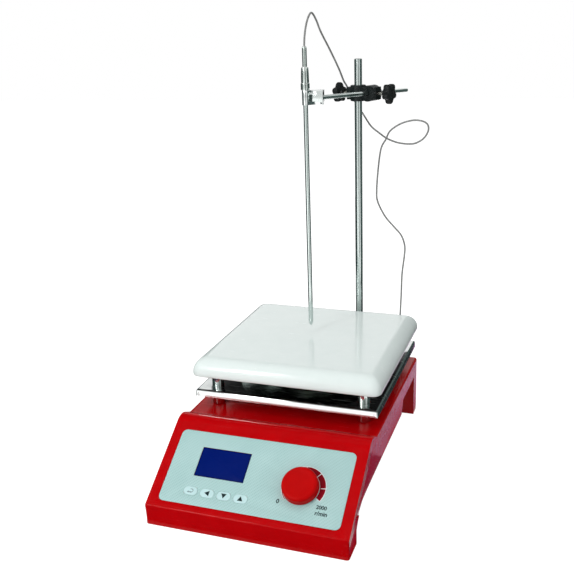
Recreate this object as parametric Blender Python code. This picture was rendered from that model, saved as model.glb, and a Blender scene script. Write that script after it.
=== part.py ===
# Hot-plate magnetic stirrer with a support rod, a cross clamp and a temperature probe.
# Metres, +Z up, the bench at Z = 0, the controls towards -Y.
# FRAME is an empty at the foot of the front face, so every Y below counts back from that face.

import math
import bmesh
import bpy
from mathutils import Matrix, Vector

# Driving dimensions -------------------------------------------------------------------------------

GAP = 0.0003                # clearance between neighbouring pieces
SHEET = 0.0015              # folded steel of the bottom cover
WALL = 0.0035               # wall of the cast housing

WIDTH = 0.183               # housing, side to side
DEPTH = 0.286               # housing, front to back
DECK = 0.0619               # flat rear deck above the bench
LIFT = 0.001                # rim of the housing above the bench
LIP_TOP = 0.0192            # height of the upright front lip
SLOPE = math.radians(33.4)  # control slope
RIDGE_Y = 0.0790            # where the slope and the ridge's rear side would meet
RIDGE_FALL = math.radians(25.0)
RIDGE_RADIUS = 0.016
EDGE_RADIUS = 0.0025        # rounding of the housing's side outlines
FOOT_DEPTH = 0.024          # front foot
LEG_DEPTH = 0.017           # rear legs
ARCH = 0.0285               # underside between the feet
GRIP_DEPTH = 0.0145         # hand recess in each side
GRIP_FRONT = 0.211
GRIP_TOP = 0.045
LEAN = 0.0018               # inward lean of the side walls' lower edge

PANEL_MARGIN = 0.0095       # control panel foil, from the housing's sides
PANEL_LOW = 0.0065          # measured up the slope
PANEL_HIGH = 0.0764
PANEL_CORNER = 0.005
FOIL = 0.0005
WINDOW_X = -0.0336          # display window
WINDOW_S = 0.0475
WINDOW_WIDTH = 0.0468
WINDOW_HEIGHT = 0.0282
KEY_WIDTH = 0.0130
KEY_HEIGHT = 0.0077
KEY_S = 0.0191
KEY_PITCH = 0.0155
KEY_FIRST_X = -0.0546
KEY_TRAVEL = 0.0006
KNOB_X = 0.0413
KNOB_S = 0.0378
KNOB_RADIUS = 0.016
KNOB_HEIGHT = 0.009
KNOB_SHAFT = 0.003

PLATE = 0.184               # square hot plate
PLATE_THICK = 0.0172
PLATE_TOP = 0.1125
PLATE_TO_ROD = 0.0045       # hot plate to the support rod behind it
PLATE_CORNER = 0.008
PLATE_BULLNOSE = 0.014
POCKET_RADIUS = 0.073
TRAY_INSET = 0.0025         # square heat shield, inside the plate's outline
TRAY_TOP = 0.0811
TRAY_LIP = 0.0065
TRAY_SHEET = 0.001
POST_SPAN = 0.145           # square of the four posts
POST_RADIUS = 0.0062
POST_NECK = 0.005
POST_STUD = 0.0025

MOTOR_RADIUS = 0.026
MOTOR_HEIGHT = 0.0225
SHAFT_RADIUS = 0.0025
ROTOR_RADIUS = 0.028
MAGNET_RADIUS = 0.008
MAGNET_REACH = 0.019

ROD_X = 0.024               # support rod
ROD_STANDOFF = 0.011        # rear wall to the rod's axis
ROD_RADIUS = 0.004
ROD_TOP = 0.377
HOLDER_WIDTH = 0.024
HOLDER_DEPTH = 0.0207
HOLDER_LOW = 0.022
HOLDER_HIGH = 0.058

CLAMP_Z = 0.343             # cross clamp on the rod
CLAMP_TURN = math.radians(-16.5)
CLAMP_LEFT = 0.0108
CLAMP_RIGHT = 0.0240
CLAMP_THICK = 0.016
CLAMP_HEIGHT = 0.016
ARM_OFFSET = 0.015
ARM_RADIUS = 0.0021
ARM_TILT = math.radians(2.0)
ARM_REACH = 0.087           # clamp to clip
ARM_TAIL = 0.0775           # clamp to free end
STAR_RADIUS = 0.0092
STAR_LOBE = 0.0013
STAR_THICK = 0.0065

CLIP_TURN = math.radians(10.0)
CLIP_REACH = 0.0164
CLIP_HEIGHT = 0.0135
CLIP_SHEET = 0.0006
SHEATH_RADIUS = 0.0023      # temperature probe
PROBE_LENGTH = 0.272
PROBE_ABOVE = 0.0390        # collar to cord exit
CORD_RADIUS = 0.0009

PLUG_TO_SIDE = 0.022        # probe socket in the rear wall, from the right side
PLUG_Z = 0.041
INLET_HALF = 0.0235         # mains inlet
INLET_TO_GRIP = 0.003       # its flange to the left hand recess's inner wall
SWITCH_PITCH = 0.0365       # mains inlet to switch
REAR_Z = 0.043              # height of the mains inlet and the switch
BOARD_SIDE = 0.050          # power board's middle, left of the housing's middle
BOARD_FRONT = 0.112

# Derived positions --------------------------------------------------------------------------------

HALF = WIDTH / 2
POST = POST_SPAN / 2
PANEL_WIDTH = WIDTH - 2 * PANEL_MARGIN
ROD_Y = DEPTH + ROD_STANDOFF
PLATE_Y = ROD_Y - ROD_RADIUS - PLATE_TO_ROD - PLATE / 2
TRAY = PLATE - 2 * TRAY_INSET
PLATE_BOTTOM = PLATE_TOP - PLATE_THICK
SHEET_LOW = ARCH + 0.0005
SHEET_HIGH = SHEET_LOW + SHEET
GRIP_X = HALF - GRIP_DEPTH
LEG_FRONT = DEPTH - LEG_DEPTH
PLUG_X = HALF - PLUG_TO_SIDE
INLET_X = INLET_TO_GRIP + INLET_HALF - GRIP_X + WALL
SWITCH_X = INLET_X + SWITCH_PITCH
BOSS_FRONT_X = HALF - 0.0195
BOSS_REAR_X = HALF - 0.0315
ALONG = Vector((math.cos(CLAMP_TURN), math.sin(CLAMP_TURN), 0.0))
ACROSS = Vector((-math.sin(CLAMP_TURN), math.cos(CLAMP_TURN), 0.0))
ARM_AXIS = (ACROSS * math.cos(ARM_TILT) - Vector((0, 0, math.sin(ARM_TILT)))).normalized()
ROD_FOOT = Vector((ROD_X, ROD_Y, 0.0))
CLAMP_POINT = Vector((ROD_X, ROD_Y, CLAMP_Z))
ARM_POINT = CLAMP_POINT + ALONG * ARM_OFFSET
ARM_START = ARM_POINT - ARM_AXIS * ARM_REACH
TOTAL_DEPTH = (ARM_POINT + ARM_AXIS * ARM_TAIL).y + ARM_RADIUS * math.sqrt(1 - ARM_AXIS.y ** 2)
CLIP_RING = SHEATH_RADIUS + GAP + CLIP_SHEET / 2
PROBE = ARM_START - Matrix.Rotation(CLIP_TURN, 3, "Z") @ Vector(
    (CLIP_REACH + CLIP_SHEET / 2 + GAP, 0.0049 - CLIP_RING, 0.0))
CLIP_LOW = ARM_START.z - CLIP_HEIGHT / 2
CLIP_TOP = CLIP_LOW + CLIP_HEIGHT
PROBE_TOP = CLIP_TOP + GAP + PROBE_ABOVE
PROBE_TIP = PROBE_TOP - PROBE_LENGTH


# Looks --------------------------------------------------------------------------------------------

def look(name, colour, roughness, metallic=0.0):
    material = bpy.data.materials.new(name)
    material.use_nodes = True
    shader = material.node_tree.nodes["Principled BSDF"]
    shader.inputs["Base Color"].default_value = (*colour, 1.0)
    shader.inputs["Roughness"].default_value = roughness
    shader.inputs["Metallic"].default_value = metallic
    material.diffuse_color = (*colour, 1.0)
    return material


# Shapes -------------------------------------------------------------------------------------------

def box(x, y, z):
    """A block between the two values of x, of y and of z."""
    shape = bmesh.new()
    size = Matrix.Diagonal((x[1] - x[0], y[1] - y[0], z[1] - z[0], 1.0))
    middle = Matrix.Translation((sum(x) / 2, sum(y) / 2, sum(z) / 2))
    bmesh.ops.create_cube(shape, size=1.0, matrix=middle @ size)
    return shape


def loft(rings, closed=False):
    """Skin between rings of equal length, or from a ring to a single point."""
    shape = bmesh.new()
    made = [[shape.verts.new(point) for point in ring] for ring in rings]
    pairs = list(zip(made, made[1:]))
    if closed:
        pairs.append((made[-1], made[0]))
    for low, high in pairs:
        count = max(len(low), len(high))
        for k in range(count):
            following = (k + 1) % count
            corners = [low[k % len(low)], low[following % len(low)],
                       high[following % len(high)], high[k % len(high)]]
            corners = list(dict.fromkeys(corners))
            if len(corners) > 2:
                shape.faces.new(corners)
    if not closed:
        for ring in (made[0], made[-1]):
            if len(ring) > 2:
                shape.faces.new(ring)
    return shape


def turned(profile, sides=32, closed=False):
    """A profile of (radius, height) turned about Z; closed means that it has a bore."""
    rings = []
    for radius, height in profile:
        if radius == 0:
            rings.append([(0.0, 0.0, height)])
        else:
            rings.append([(radius * math.cos(math.tau * k / sides),
                           radius * math.sin(math.tau * k / sides), height) for k in range(sides)])
    return loft(rings, closed)


def prism(outline, low, high, axis="Z"):
    """A flat outline pushed along an axis; along X its points are (y, z), along Z (x, y)."""
    if axis == "X":
        return loft([[(level, a, b) for a, b in outline] for level in (low, high)])
    return loft([[(a, b, level) for a, b in outline] for level in (low, high)])


def rounded(width, height, radius, steps=4):
    """Outline of a rectangle with round corners, centred on the origin."""
    points = []
    for quarter, (sx, sy) in enumerate(((1, 1), (-1, 1), (-1, -1), (1, -1))):
        for k in range(steps + 1):
            angle = math.pi / 2 * (quarter + k / steps)
            points.append((sx * (width / 2 - radius) + radius * math.cos(angle),
                           sy * (height / 2 - radius) + radius * math.sin(angle)))
    return points


def fillet(start, corner, end, radius, steps):
    """Points of the arc that rounds a corner of a path."""
    start, corner, end = Vector(start), Vector(corner), Vector(end)
    into, out = (start - corner).normalized(), (end - corner).normalized()
    half = into.angle(out) / 2
    centre = corner + (into + out).normalized() * radius / math.sin(half)
    first = corner + into * radius / math.tan(half) - centre
    turn = first.angle_signed(corner + out * radius / math.tan(half) - centre)
    points = []
    for k in range(steps + 1):
        angle = -turn * k / steps
        points.append((centre.x + first.x * math.cos(angle) - first.y * math.sin(angle),
                       centre.y + first.x * math.sin(angle) + first.y * math.cos(angle)))
    return points


def beside(path, distance):
    """The path moved sideways by a distance, to the left of its direction."""
    points = [Vector(point) for point in path]
    moved = []
    for k, point in enumerate(points):
        before = (point - points[k - 1]).normalized() if k else None
        after = (points[k + 1] - point).normalized() if k + 1 < len(points) else None
        before = before or after
        after = after or before
        mitre = Vector((-before.y, before.x)) + Vector((-after.y, after.x))
        reach = distance / max(mitre.length / 2, 0.2)
        moved.append(tuple(point + mitre.normalized() * reach))
    return moved


def ribbon(path, thickness):
    """Outline of a bent strip whose middle follows the path."""
    return beside(path, thickness / 2) + beside(path, -thickness / 2)[::-1]


def arc(centre, radius, first, last, steps):
    angles = [math.radians(first + (last - first) * k / steps) for k in range(steps + 1)]
    return [(centre[0] + radius * math.cos(a), centre[1] + radius * math.sin(a)) for a in angles]


def moved(shape, place):
    bmesh.ops.transform(shape, matrix=place, verts=shape.verts)
    return shape


def at(x=0.0, y=0.0, z=0.0):
    return Matrix.Translation((x, y, z))


# Objects ------------------------------------------------------------------------------------------

for old in list(bpy.data.objects):
    bpy.data.objects.remove(old)

FRAME = bpy.data.objects.new("frame", None)
FRAME.location = (0.0, -TOTAL_DEPTH / 2, 0.0)
bpy.context.scene.collection.objects.link(FRAME)


def piece(name, shape, material, place=None, parent=FRAME):
    bmesh.ops.recalc_face_normals(shape, faces=shape.faces)
    mesh = bpy.data.meshes.new(name)
    shape.to_mesh(mesh)
    shape.free()
    made = bpy.data.objects.new(name, mesh)
    bpy.context.scene.collection.objects.link(made)
    made.parent = parent
    made.matrix_local = place or Matrix()
    if material:
        mesh.materials.append(material)
    mesh.shade_smooth()
    mesh.set_sharp_from_angle(angle=math.radians(32))
    return made


def combine(target, operation, shape, place=None):
    """Adds a shape to a piece, or takes it away, in the piece's own coordinates."""
    helper = piece(target.name + "_" + operation.lower(), shape, None, place, target)
    helper.hide_render = True
    helper.display_type = "WIRE"
    step = target.modifiers.new(operation.title(), "BOOLEAN")
    step.operation = operation
    step.solver = "EXACT"
    step.object = helper
    return helper


def cut(target, shape, place=None):
    return combine(target, "DIFFERENCE", shape, place)


def add(target, shape, place=None):
    return combine(target, "UNION", shape, place)


def rod_cut(target, radius, low, high, place=None, sides=24):
    return cut(target, turned([(radius, low), (radius, high)], sides), place)


SLOPE_FRAME = at(0, 0.0011, LIP_TOP) @ Matrix.Rotation(SLOPE, 4, "X")


def on_slope(x, s, height=0.0):
    """Place on the control slope: across, up the slope and out from it."""
    return SLOPE_FRAME @ at(x, s, height)


red = look("red paint", (0.46, 0.004, 0.006), 0.22)
black_steel = look("black painted steel", (0.03, 0.03, 0.032), 0.5)
rubber = look("black rubber", (0.02, 0.02, 0.02), 0.8)
foil_grey = look("printed foil", (0.45, 0.62, 0.60), 0.45)
display_blue = look("display window", (0.004, 0.02, 0.14), 0.12)
pale_plastic = look("pale plastic", (0.72, 0.76, 0.78), 0.4)
board_green = look("circuit board", (0.02, 0.16, 0.07), 0.5)
knob_red = look("knob red", (0.62, 0.003, 0.006), 0.35)
steel = look("steel", (0.6, 0.6, 0.6), 0.28, 1.0)
stainless = look("polished stainless", (0.72, 0.73, 0.74), 0.12, 1.0)
motor_grey = look("zinc plated", (0.5, 0.5, 0.48), 0.4, 1.0)
magnet_grey = look("magnet", (0.18, 0.18, 0.19), 0.35, 1.0)
white_enamel = look("white enamel", (0.80, 0.86, 0.84), 0.18)
mica = look("mica heater", (0.42, 0.34, 0.22), 0.6)
wool = look("insulation", (0.75, 0.73, 0.68), 0.9)
black_cast = look("black cast zinc", (0.018, 0.019, 0.021), 0.35)
black_plastic = look("black plastic", (0.015, 0.015, 0.016), 0.4)
grey_cord = look("grey cord", (0.20, 0.20, 0.20), 0.5)
copper_iron = look("transformer", (0.25, 0.13, 0.06), 0.5)


# Housing: one casting with the control slope, the ridge, the deck, a foot and two legs ------------

foot_y = 0.0011
ridge_z = LIP_TOP + (RIDGE_Y - foot_y) * math.tan(SLOPE)
deck_front = RIDGE_Y + (ridge_z - DECK) / math.tan(RIDGE_FALL)
ridge = fillet((foot_y, LIP_TOP), (RIDGE_Y, ridge_z), (deck_front, DECK), RIDGE_RADIUS, 6)
top_path = [(0.0, LIFT), (foot_y, LIP_TOP), *ridge, (deck_front, DECK),
            (DEPTH, DECK), (DEPTH, LIFT)]
arch_path = [(FOOT_DEPTH, LIFT), (FOOT_DEPTH, 0.014), (FOOT_DEPTH + 0.004, 0.0188),
             (FOOT_DEPTH + 0.0125, 0.0252), (FOOT_DEPTH + 0.0225, ARCH)]
outline = top_path + [(LEG_FRONT, LIFT), (LEG_FRONT, ARCH)] + arch_path[::-1]

shell = prism(outline, -HALF, HALF, "X")
same = 1e-6
rim = []
for edge in shell.edges:
    start, end = [vert.co for vert in edge.verts]
    on_top = all(any((Vector((v.y, v.z)) - Vector(p)).length < same for p in top_path)
                 for v in (start, end))
    lengthwise = abs(start.x - end.x) < same
    on_rear = abs(start.y - DEPTH) < same and abs(end.y - DEPTH) < same
    at_foot = max(start.z, end.z) < LIFT + same
    at_deck = min(start.z, end.z) > DECK - same
    if on_top and lengthwise and not on_rear and not at_foot:
        rim.append(edge)
    if on_rear and (abs(start.z - end.z) > 0.01 or at_deck):
        rim.append(edge)
bmesh.ops.bevel(shell, geom=rim, offset=EDGE_RADIUS, segments=2, profile=0.5, affect="EDGES")
housing = piece("housing", shell, red)

inner_path = beside(top_path, -WALL)
inner_front, inner_rear = inner_path[0][0], inner_path[-1][0]
cavity = [(inner_front, -0.02)] + inner_path + [(inner_rear, -0.02)]
hollow = cut(housing, prism(cavity, -HALF + WALL, HALF - WALL, "X"))
crease = ((FOOT_DEPTH, 0.0295, 0.25), (0.038, 0.0337, 0.55), (0.064, 0.0376, 1.0),
          (0.109, 0.0423, 1.0), (0.1465, 0.0435, 1.0), (GRIP_FRONT + 0.002, GRIP_TOP, 1.0))
for side in (-1, 1):
    across = sorted((side * GRIP_X, side * (HALF + 0.01)))
    cut(housing, box(across, (GRIP_FRONT, LEG_FRONT), (-0.01, GRIP_TOP)))
    across = sorted((side * (GRIP_X - WALL), side * (HALF + 0.01)))
    cut(hollow, box(across, (GRIP_FRONT - WALL, LEG_FRONT + WALL), (-0.03, GRIP_TOP + WALL)))
    wedge = []
    for y, z, share in crease:
        low_z = ARCH - 0.006
        wedge.append([(side * (HALF + 0.002), y, z + 0.0002), (side * (HALF + 0.0001), y, z + 0.0002),
                      (side * (HALF - LEAN * share), y, low_z), (side * (HALF + 0.002), y, low_z)])
    cut(housing, loft(wedge))

# Screw bosses for the bottom cover, run into the wall above them.
SCREWS = ((-BOSS_FRONT_X, 0.062), (BOSS_FRONT_X, 0.062),
          (-BOSS_REAR_X, DEPTH - 0.041), (BOSS_REAR_X, DEPTH - 0.041))
for x, y in SCREWS:
    height = LIP_TOP + (y - 0.004 - foot_y) * math.tan(SLOPE) if y < RIDGE_Y else DECK
    add(housing, turned([(0.004, SHEET_HIGH + GAP), (0.004, height - WALL / 2)], 12), at(x, y))
    rod_cut(housing, 0.0014 + GAP, SHEET_LOW - 0.004, SHEET_HIGH + 0.011, at(x, y), 10)

# Openings on the slope: foil recess, window with its ledge, keys and knob shaft.
panel_middle = (PANEL_LOW + PANEL_HIGH) / 2
panel_tall = PANEL_HIGH - PANEL_LOW
recess = FOIL + GAP
cut(housing, prism(rounded(PANEL_WIDTH + 2 * GAP, panel_tall + 2 * GAP, PANEL_CORNER + GAP),
                   -recess, 0.004), on_slope(0, panel_middle))
cut(housing, box((-WINDOW_WIDTH / 2, WINDOW_WIDTH / 2), (-WINDOW_HEIGHT / 2, WINDOW_HEIGHT / 2),
                 (-0.0019, 0.004)), on_slope(WINDOW_X, WINDOW_S))
cut(housing, box((0.0015 - WINDOW_WIDTH / 2, WINDOW_WIDTH / 2 - 0.0015),
                 (0.0015 - WINDOW_HEIGHT / 2, WINDOW_HEIGHT / 2 - 0.0015),
                 (-WALL - 0.002, 0.001)), on_slope(WINDOW_X, WINDOW_S))
KEY_X = [KEY_FIRST_X + KEY_PITCH * k for k in range(4)]
key_hole = (KEY_WIDTH + 2 * GAP, KEY_HEIGHT + 2 * GAP, KEY_HEIGHT / 2 + GAP)
for x in KEY_X:
    cut(housing, prism(rounded(*key_hole), -WALL - 0.002, 0.004), on_slope(x, KEY_S))
rod_cut(housing, 0.0042, -WALL - 0.002, 0.004, on_slope(KNOB_X, KNOB_S))

# Openings in the deck and in the rear wall.
POSTS = {"post_front_left": (-POST, PLATE_Y - POST), "post_front_right": (POST, PLATE_Y - POST),
         "post_rear_left": (-POST, PLATE_Y + POST), "post_rear_right": (POST, PLATE_Y + POST)}
for x, y in POSTS.values():
    rod_cut(housing, POST_STUD + GAP, DECK - WALL - 0.003, DECK + 0.004, at(x, y), 16)
rod_cut(housing, 0.008, DECK - WALL - 0.003, DECK + 0.004, at(0, PLATE_Y))
inlet_hole = INLET_HALF - 0.0022
cut(housing, box((INLET_X - inlet_hole, INLET_X + inlet_hole), (DEPTH - WALL - 0.003, DEPTH + 0.004),
                 (REAR_Z - 0.0113, REAR_Z + 0.0113)))
cut(housing, box((SWITCH_X - 0.0078, SWITCH_X + 0.0078), (DEPTH - WALL - 0.003, DEPTH + 0.004),
                 (REAR_Z - 0.0113, REAR_Z + 0.0113)))
rear_facing = Matrix.Rotation(-math.pi / 2, 4, "X")     # local Z points back, local Y down
rod_cut(housing, 0.0065 + GAP, -WALL - 0.003, 0.004, at(PLUG_X, DEPTH, PLUG_Z) @ rear_facing)

# Bottom cover: one folded sheet along the foot, the arch and the rear legs ------------------------

step = 0.0005
sheet_path = [(inner_front + 2 * GAP, LIFT + step), (FOOT_DEPTH - step, LIFT + step)]
sheet_path += [(y - step, z + step / 2) for y, z in arch_path[1:-1]]
sheet_path += [(arch_path[-1][0], SHEET_LOW), (LEG_FRONT + step, SHEET_LOW),
               (LEG_FRONT + step, LIFT + step), (inner_rear - GAP, LIFT + step)]
sheet_width = HALF - WALL - GAP
cover = piece("bottom_cover", prism(ribbon(beside(sheet_path, SHEET / 2), SHEET),
                                    -sheet_width, sheet_width, "X"), black_steel)
for side in (-1, 1):
    across = sorted((side * (GRIP_X - WALL - GAP), side * HALF))
    cut(cover, box(across, (GRIP_FRONT - WALL - GAP, LEG_FRONT + WALL + GAP), (-0.01, 0.04)))
for k, (x, y) in enumerate(SCREWS):
    rod_cut(cover, 0.0018, SHEET_LOW - 0.003, SHEET_HIGH + 0.003, at(x, y), 12)
    piece("cover_screw_%d" % (k + 1), turned([
        (0.0022, SHEET_LOW - GAP - 0.0016), (0.0030, SHEET_LOW - GAP - 0.0010),
        (0.0030, SHEET_LOW - GAP), (0.0014, SHEET_LOW - GAP), (0.0014, SHEET_HIGH + 0.0085),
        (0.0006, SHEET_HIGH + 0.0098)], 10), motor_grey, at(x, y))

FOOT_X = HALF - 0.0155
HEEL_X = HALF - 0.0115
FEET = {"foot_front_left": (-FOOT_X, FOOT_DEPTH / 2 + 0.0015),
        "foot_front_right": (FOOT_X, FOOT_DEPTH / 2 + 0.0015),
        "foot_rear_left": (-HEEL_X, DEPTH - LEG_DEPTH / 2),
        "foot_rear_right": (HEEL_X, DEPTH - LEG_DEPTH / 2)}
for name, (x, y) in FEET.items():
    rod_cut(cover, 0.003, -0.002, 0.008, at(x, y), 16)
    piece(name, turned([(0.0038, 0.0), (0.0044, 0.0004), (0.0044, LIFT + step - GAP),
                        (0.0030 - GAP, LIFT + step - GAP), (0.0030 - GAP, LIFT + step + SHEET + GAP),
                        (0.0040, LIFT + step + SHEET + GAP), (0.0028, LIFT + step + SHEET + 0.0016)],
                       12), rubber, at(x, y))

# Control slope ------------------------------------------------------------------------------------

panel = piece("control_panel", prism(rounded(PANEL_WIDTH, panel_tall, PANEL_CORNER), -FOIL, 0.0),
              foil_grey, on_slope(0, panel_middle))
cut(panel, box((-WINDOW_WIDTH / 2, WINDOW_WIDTH / 2), (-WINDOW_HEIGHT / 2, WINDOW_HEIGHT / 2),
               (-0.002, 0.002)), at(WINDOW_X, WINDOW_S - panel_middle))
for x in KEY_X:
    cut(panel, prism(rounded(*key_hole), -0.002, 0.002), at(x, KEY_S - panel_middle))
rod_cut(panel, 0.0042, -0.002, 0.002, at(KNOB_X, KNOB_S - panel_middle))

piece("lcd_window", box((GAP - WINDOW_WIDTH / 2, WINDOW_WIDTH / 2 - GAP),
                        (GAP - WINDOW_HEIGHT / 2, WINDOW_HEIGHT / 2 - GAP), (-0.0016, 0.0)),
      display_blue, on_slope(WINDOW_X, WINDOW_S))
module_top = -WALL - GAP
board_top = module_top - 0.0055
piece("lcd_module", box((-0.0265, 0.0265), (-0.0165, 0.0165), (board_top + GAP, module_top)),
      pale_plastic, on_slope(WINDOW_X, WINDOW_S))

for name, x in zip(("key_enter", "key_left", "key_down", "key_up"), KEY_X):
    flange_top = -WALL - GAP
    stem = [[(a * f, b * f, level) for a, b in rounded(KEY_WIDTH, KEY_HEIGHT, KEY_HEIGHT / 2, 3)]
            for f, level in ((0.45, board_top + 0.0039), (0.45, flange_top - 0.001),
                             (1.14, flange_top - 0.001), (1.14, flange_top), (1.0, flange_top),
                             (1.0, 0.0002), (0.93, 0.0005))]
    piece(name, loft(stem), pale_plastic, on_slope(x, KEY_S))

board = piece("control_board", box((-0.064, 0.064), (-0.0275, 0.0275), (-0.0016, 0.0)),
              board_green, on_slope(0, 0.0385, board_top))
for x in KEY_X:
    add(board, box((-0.003, 0.003), (-0.003, 0.003), (-0.001, 0.0029)), at(x, KEY_S - 0.0385))

encoder = piece("speed_encoder", turned([(0.0085, board_top + GAP), (0.0085, module_top)], 24),
                black_plastic, on_slope(KNOB_X, KNOB_S))
rod_cut(encoder, KNOB_SHAFT + GAP, board_top + 0.0012, 0.002)
piece("knob_shaft", turned([(KNOB_SHAFT, board_top + 0.0012 + GAP), (KNOB_SHAFT, KNOB_HEIGHT - 0.004),
                            (KNOB_SHAFT - 0.0005, KNOB_HEIGHT - 0.0035)], 20),
      steel, on_slope(KNOB_X, KNOB_S))
piece("knob", turned([
    (KNOB_RADIUS - 0.0004, 0.0006), (KNOB_RADIUS, 0.0010), (KNOB_RADIUS - 0.0005, KNOB_HEIGHT - 0.0022),
    (KNOB_RADIUS - 0.0012, KNOB_HEIGHT - 0.0008), (KNOB_RADIUS - 0.0028, KNOB_HEIGHT),
    (0.0, KNOB_HEIGHT), (0.0, KNOB_HEIGHT - 0.0035 + GAP), (KNOB_SHAFT + GAP, KNOB_HEIGHT - 0.0035 + GAP),
    (KNOB_SHAFT + GAP, 0.0012), (0.0052, 0.0012), (0.0052, 0.0065), (KNOB_RADIUS - 0.0022, 0.0065),
    (KNOB_RADIUS - 0.0022, 0.0006)], 40, closed=True), knob_red, on_slope(KNOB_X, KNOB_S))

# Drive: motor under the deck, shaft through it, magnets under the hot plate ------------------------

bracket_top = DECK - WALL - GAP
bracket = piece("motor_bracket", prism(rounded(0.068, 0.064, 0.004), bracket_top - SHEET, bracket_top),
                motor_grey, at(0, PLATE_Y))
rod_cut(bracket, 0.007, bracket_top - 0.005, bracket_top + 0.005)
motor_top = bracket_top - SHEET - GAP
motor_low = motor_top - MOTOR_HEIGHT
motor = piece("drive_motor", turned([
    (MOTOR_RADIUS - 0.001, motor_low), (MOTOR_RADIUS, motor_low + 0.001), (MOTOR_RADIUS, motor_top - 0.001),
    (MOTOR_RADIUS - 0.001, motor_top)], 32), motor_grey, at(0, PLATE_Y))
rod_cut(motor, SHAFT_RADIUS + GAP, motor_low + 0.004, motor_top + 0.004)
rotor_low = TRAY_TOP + 0.0019
hub_top = rotor_low + 0.004
piece("motor_shaft", turned([(SHAFT_RADIUS, motor_low + 0.004 + GAP),
                             (SHAFT_RADIUS, hub_top - 0.0012)], 20), steel, at(0, PLATE_Y))
piece("shaft_seal", turned([
    (SHAFT_RADIUS + GAP, DECK - WALL), (0.0077, DECK - WALL), (0.0077, DECK + GAP), (0.011, DECK + GAP),
    (0.0105, DECK + 0.0016), (SHAFT_RADIUS + GAP, DECK + 0.0016)], 16, closed=True),
    rubber, at(0, PLATE_Y))
magnet_carrier = piece("magnet_carrier", turned([(ROTOR_RADIUS, rotor_low), (ROTOR_RADIUS, hub_top)], 32),
                       motor_grey, at(0, PLATE_Y))
rod_cut(magnet_carrier, SHAFT_RADIUS + GAP, rotor_low - 0.003, hub_top - 0.0012 + GAP)
for name, side in (("magnet_north", -1), ("magnet_south", 1)):
    piece(name, turned([(MAGNET_RADIUS, hub_top + GAP), (MAGNET_RADIUS, hub_top + 0.0052)], 20),
          magnet_grey, at(side * MAGNET_REACH, PLATE_Y))

# Hot plate on its four posts, with the heater packed into its underside ---------------------------

rings = [(0.0018, PLATE_BOTTOM), (0.0005, PLATE_BOTTOM + 0.0007), (0.0, PLATE_BOTTOM + 0.0020)]
for k in range(6):
    angle = math.pi / 2 * k / 5
    rings.append((PLATE_BULLNOSE * (1 - math.cos(angle)),
                  PLATE_TOP - PLATE_BULLNOSE * (1 - math.sin(angle))))
plate = piece("hot_plate", loft([
    [(x, y, z) for x, y in rounded(PLATE - 2 * inset, PLATE - 2 * inset, PLATE_CORNER - inset * 0.35, 4)]
    for inset, z in rings]), white_enamel, at(0, PLATE_Y))
pocket_top = PLATE_BOTTOM + 0.0087
rod_cut(plate, POCKET_RADIUS + GAP, PLATE_BOTTOM - 0.004, pocket_top, None, 48)
for x, y in POSTS.values():
    rod_cut(plate, POST_STUD + GAP, PLATE_BOTTOM - 0.004, PLATE_BOTTOM + 0.0075, at(x, y - PLATE_Y), 16)
level = pocket_top - GAP
for name, thick, material in (("heater", 0.0022, mica), ("insulation", 0.0042, wool),
                              ("heater_cover", 0.0012, steel)):
    piece(name, turned([(POCKET_RADIUS, level - thick), (POCKET_RADIUS, level)], 48),
          material, at(0, PLATE_Y))
    level -= thick + GAP

tray = piece("drip_tray", prism(rounded(TRAY, TRAY, 0.0025, 3), TRAY_TOP - TRAY_LIP, TRAY_TOP),
             stainless, at(0, PLATE_Y))
inside = TRAY - 2 * TRAY_SHEET
cut(tray, prism(rounded(inside, inside, 0.0015, 3), TRAY_TOP - TRAY_LIP - 0.004, TRAY_TOP - TRAY_SHEET))
rod_cut(tray, 0.007, TRAY_TOP - 0.004, TRAY_TOP + 0.004)
for name, (x, y) in POSTS.items():
    rod_cut(tray, POST_NECK + GAP, TRAY_TOP - 0.004, TRAY_TOP + 0.004, at(x, y - PLATE_Y), 16)
    shoulder = TRAY_TOP - TRAY_SHEET - GAP
    piece(name, turned([
        (POST_STUD, DECK - WALL - 0.004), (POST_STUD, DECK + GAP), (POST_RADIUS - 0.0004, DECK + GAP),
        (POST_RADIUS, DECK + 0.0007), (POST_RADIUS, shoulder - 0.0004), (POST_RADIUS - 0.0004, shoulder),
        (POST_NECK, shoulder), (POST_NECK, PLATE_BOTTOM - GAP), (POST_STUD, PLATE_BOTTOM - GAP),
        (POST_STUD, PLATE_BOTTOM + 0.0070)], 16), stainless, at(x, y))

# Electrics behind the slope and on the rear wall --------------------------------------------------

board_z = SHEET_HIGH + 0.004
board_place = at(-BOARD_SIDE, BOARD_FRONT, board_z)
power = piece("power_board", box((-0.018, 0.018), (0.0, 0.090), (0.0, SHEET)), board_green, board_place)
for x in (-0.015, 0.015):
    for y in (0.003, 0.087):
        add(power, box((x - 0.002, x + 0.002), (y - 0.002, y + 0.002),
                       (SHEET_HIGH + GAP - board_z, 0.0005)))
transformer_low = SHEET + GAP
piece("transformer", box((-0.016, 0.014), (0.010, 0.046), (transformer_low, transformer_low + 0.019)),
      copper_iron, board_place)

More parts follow.
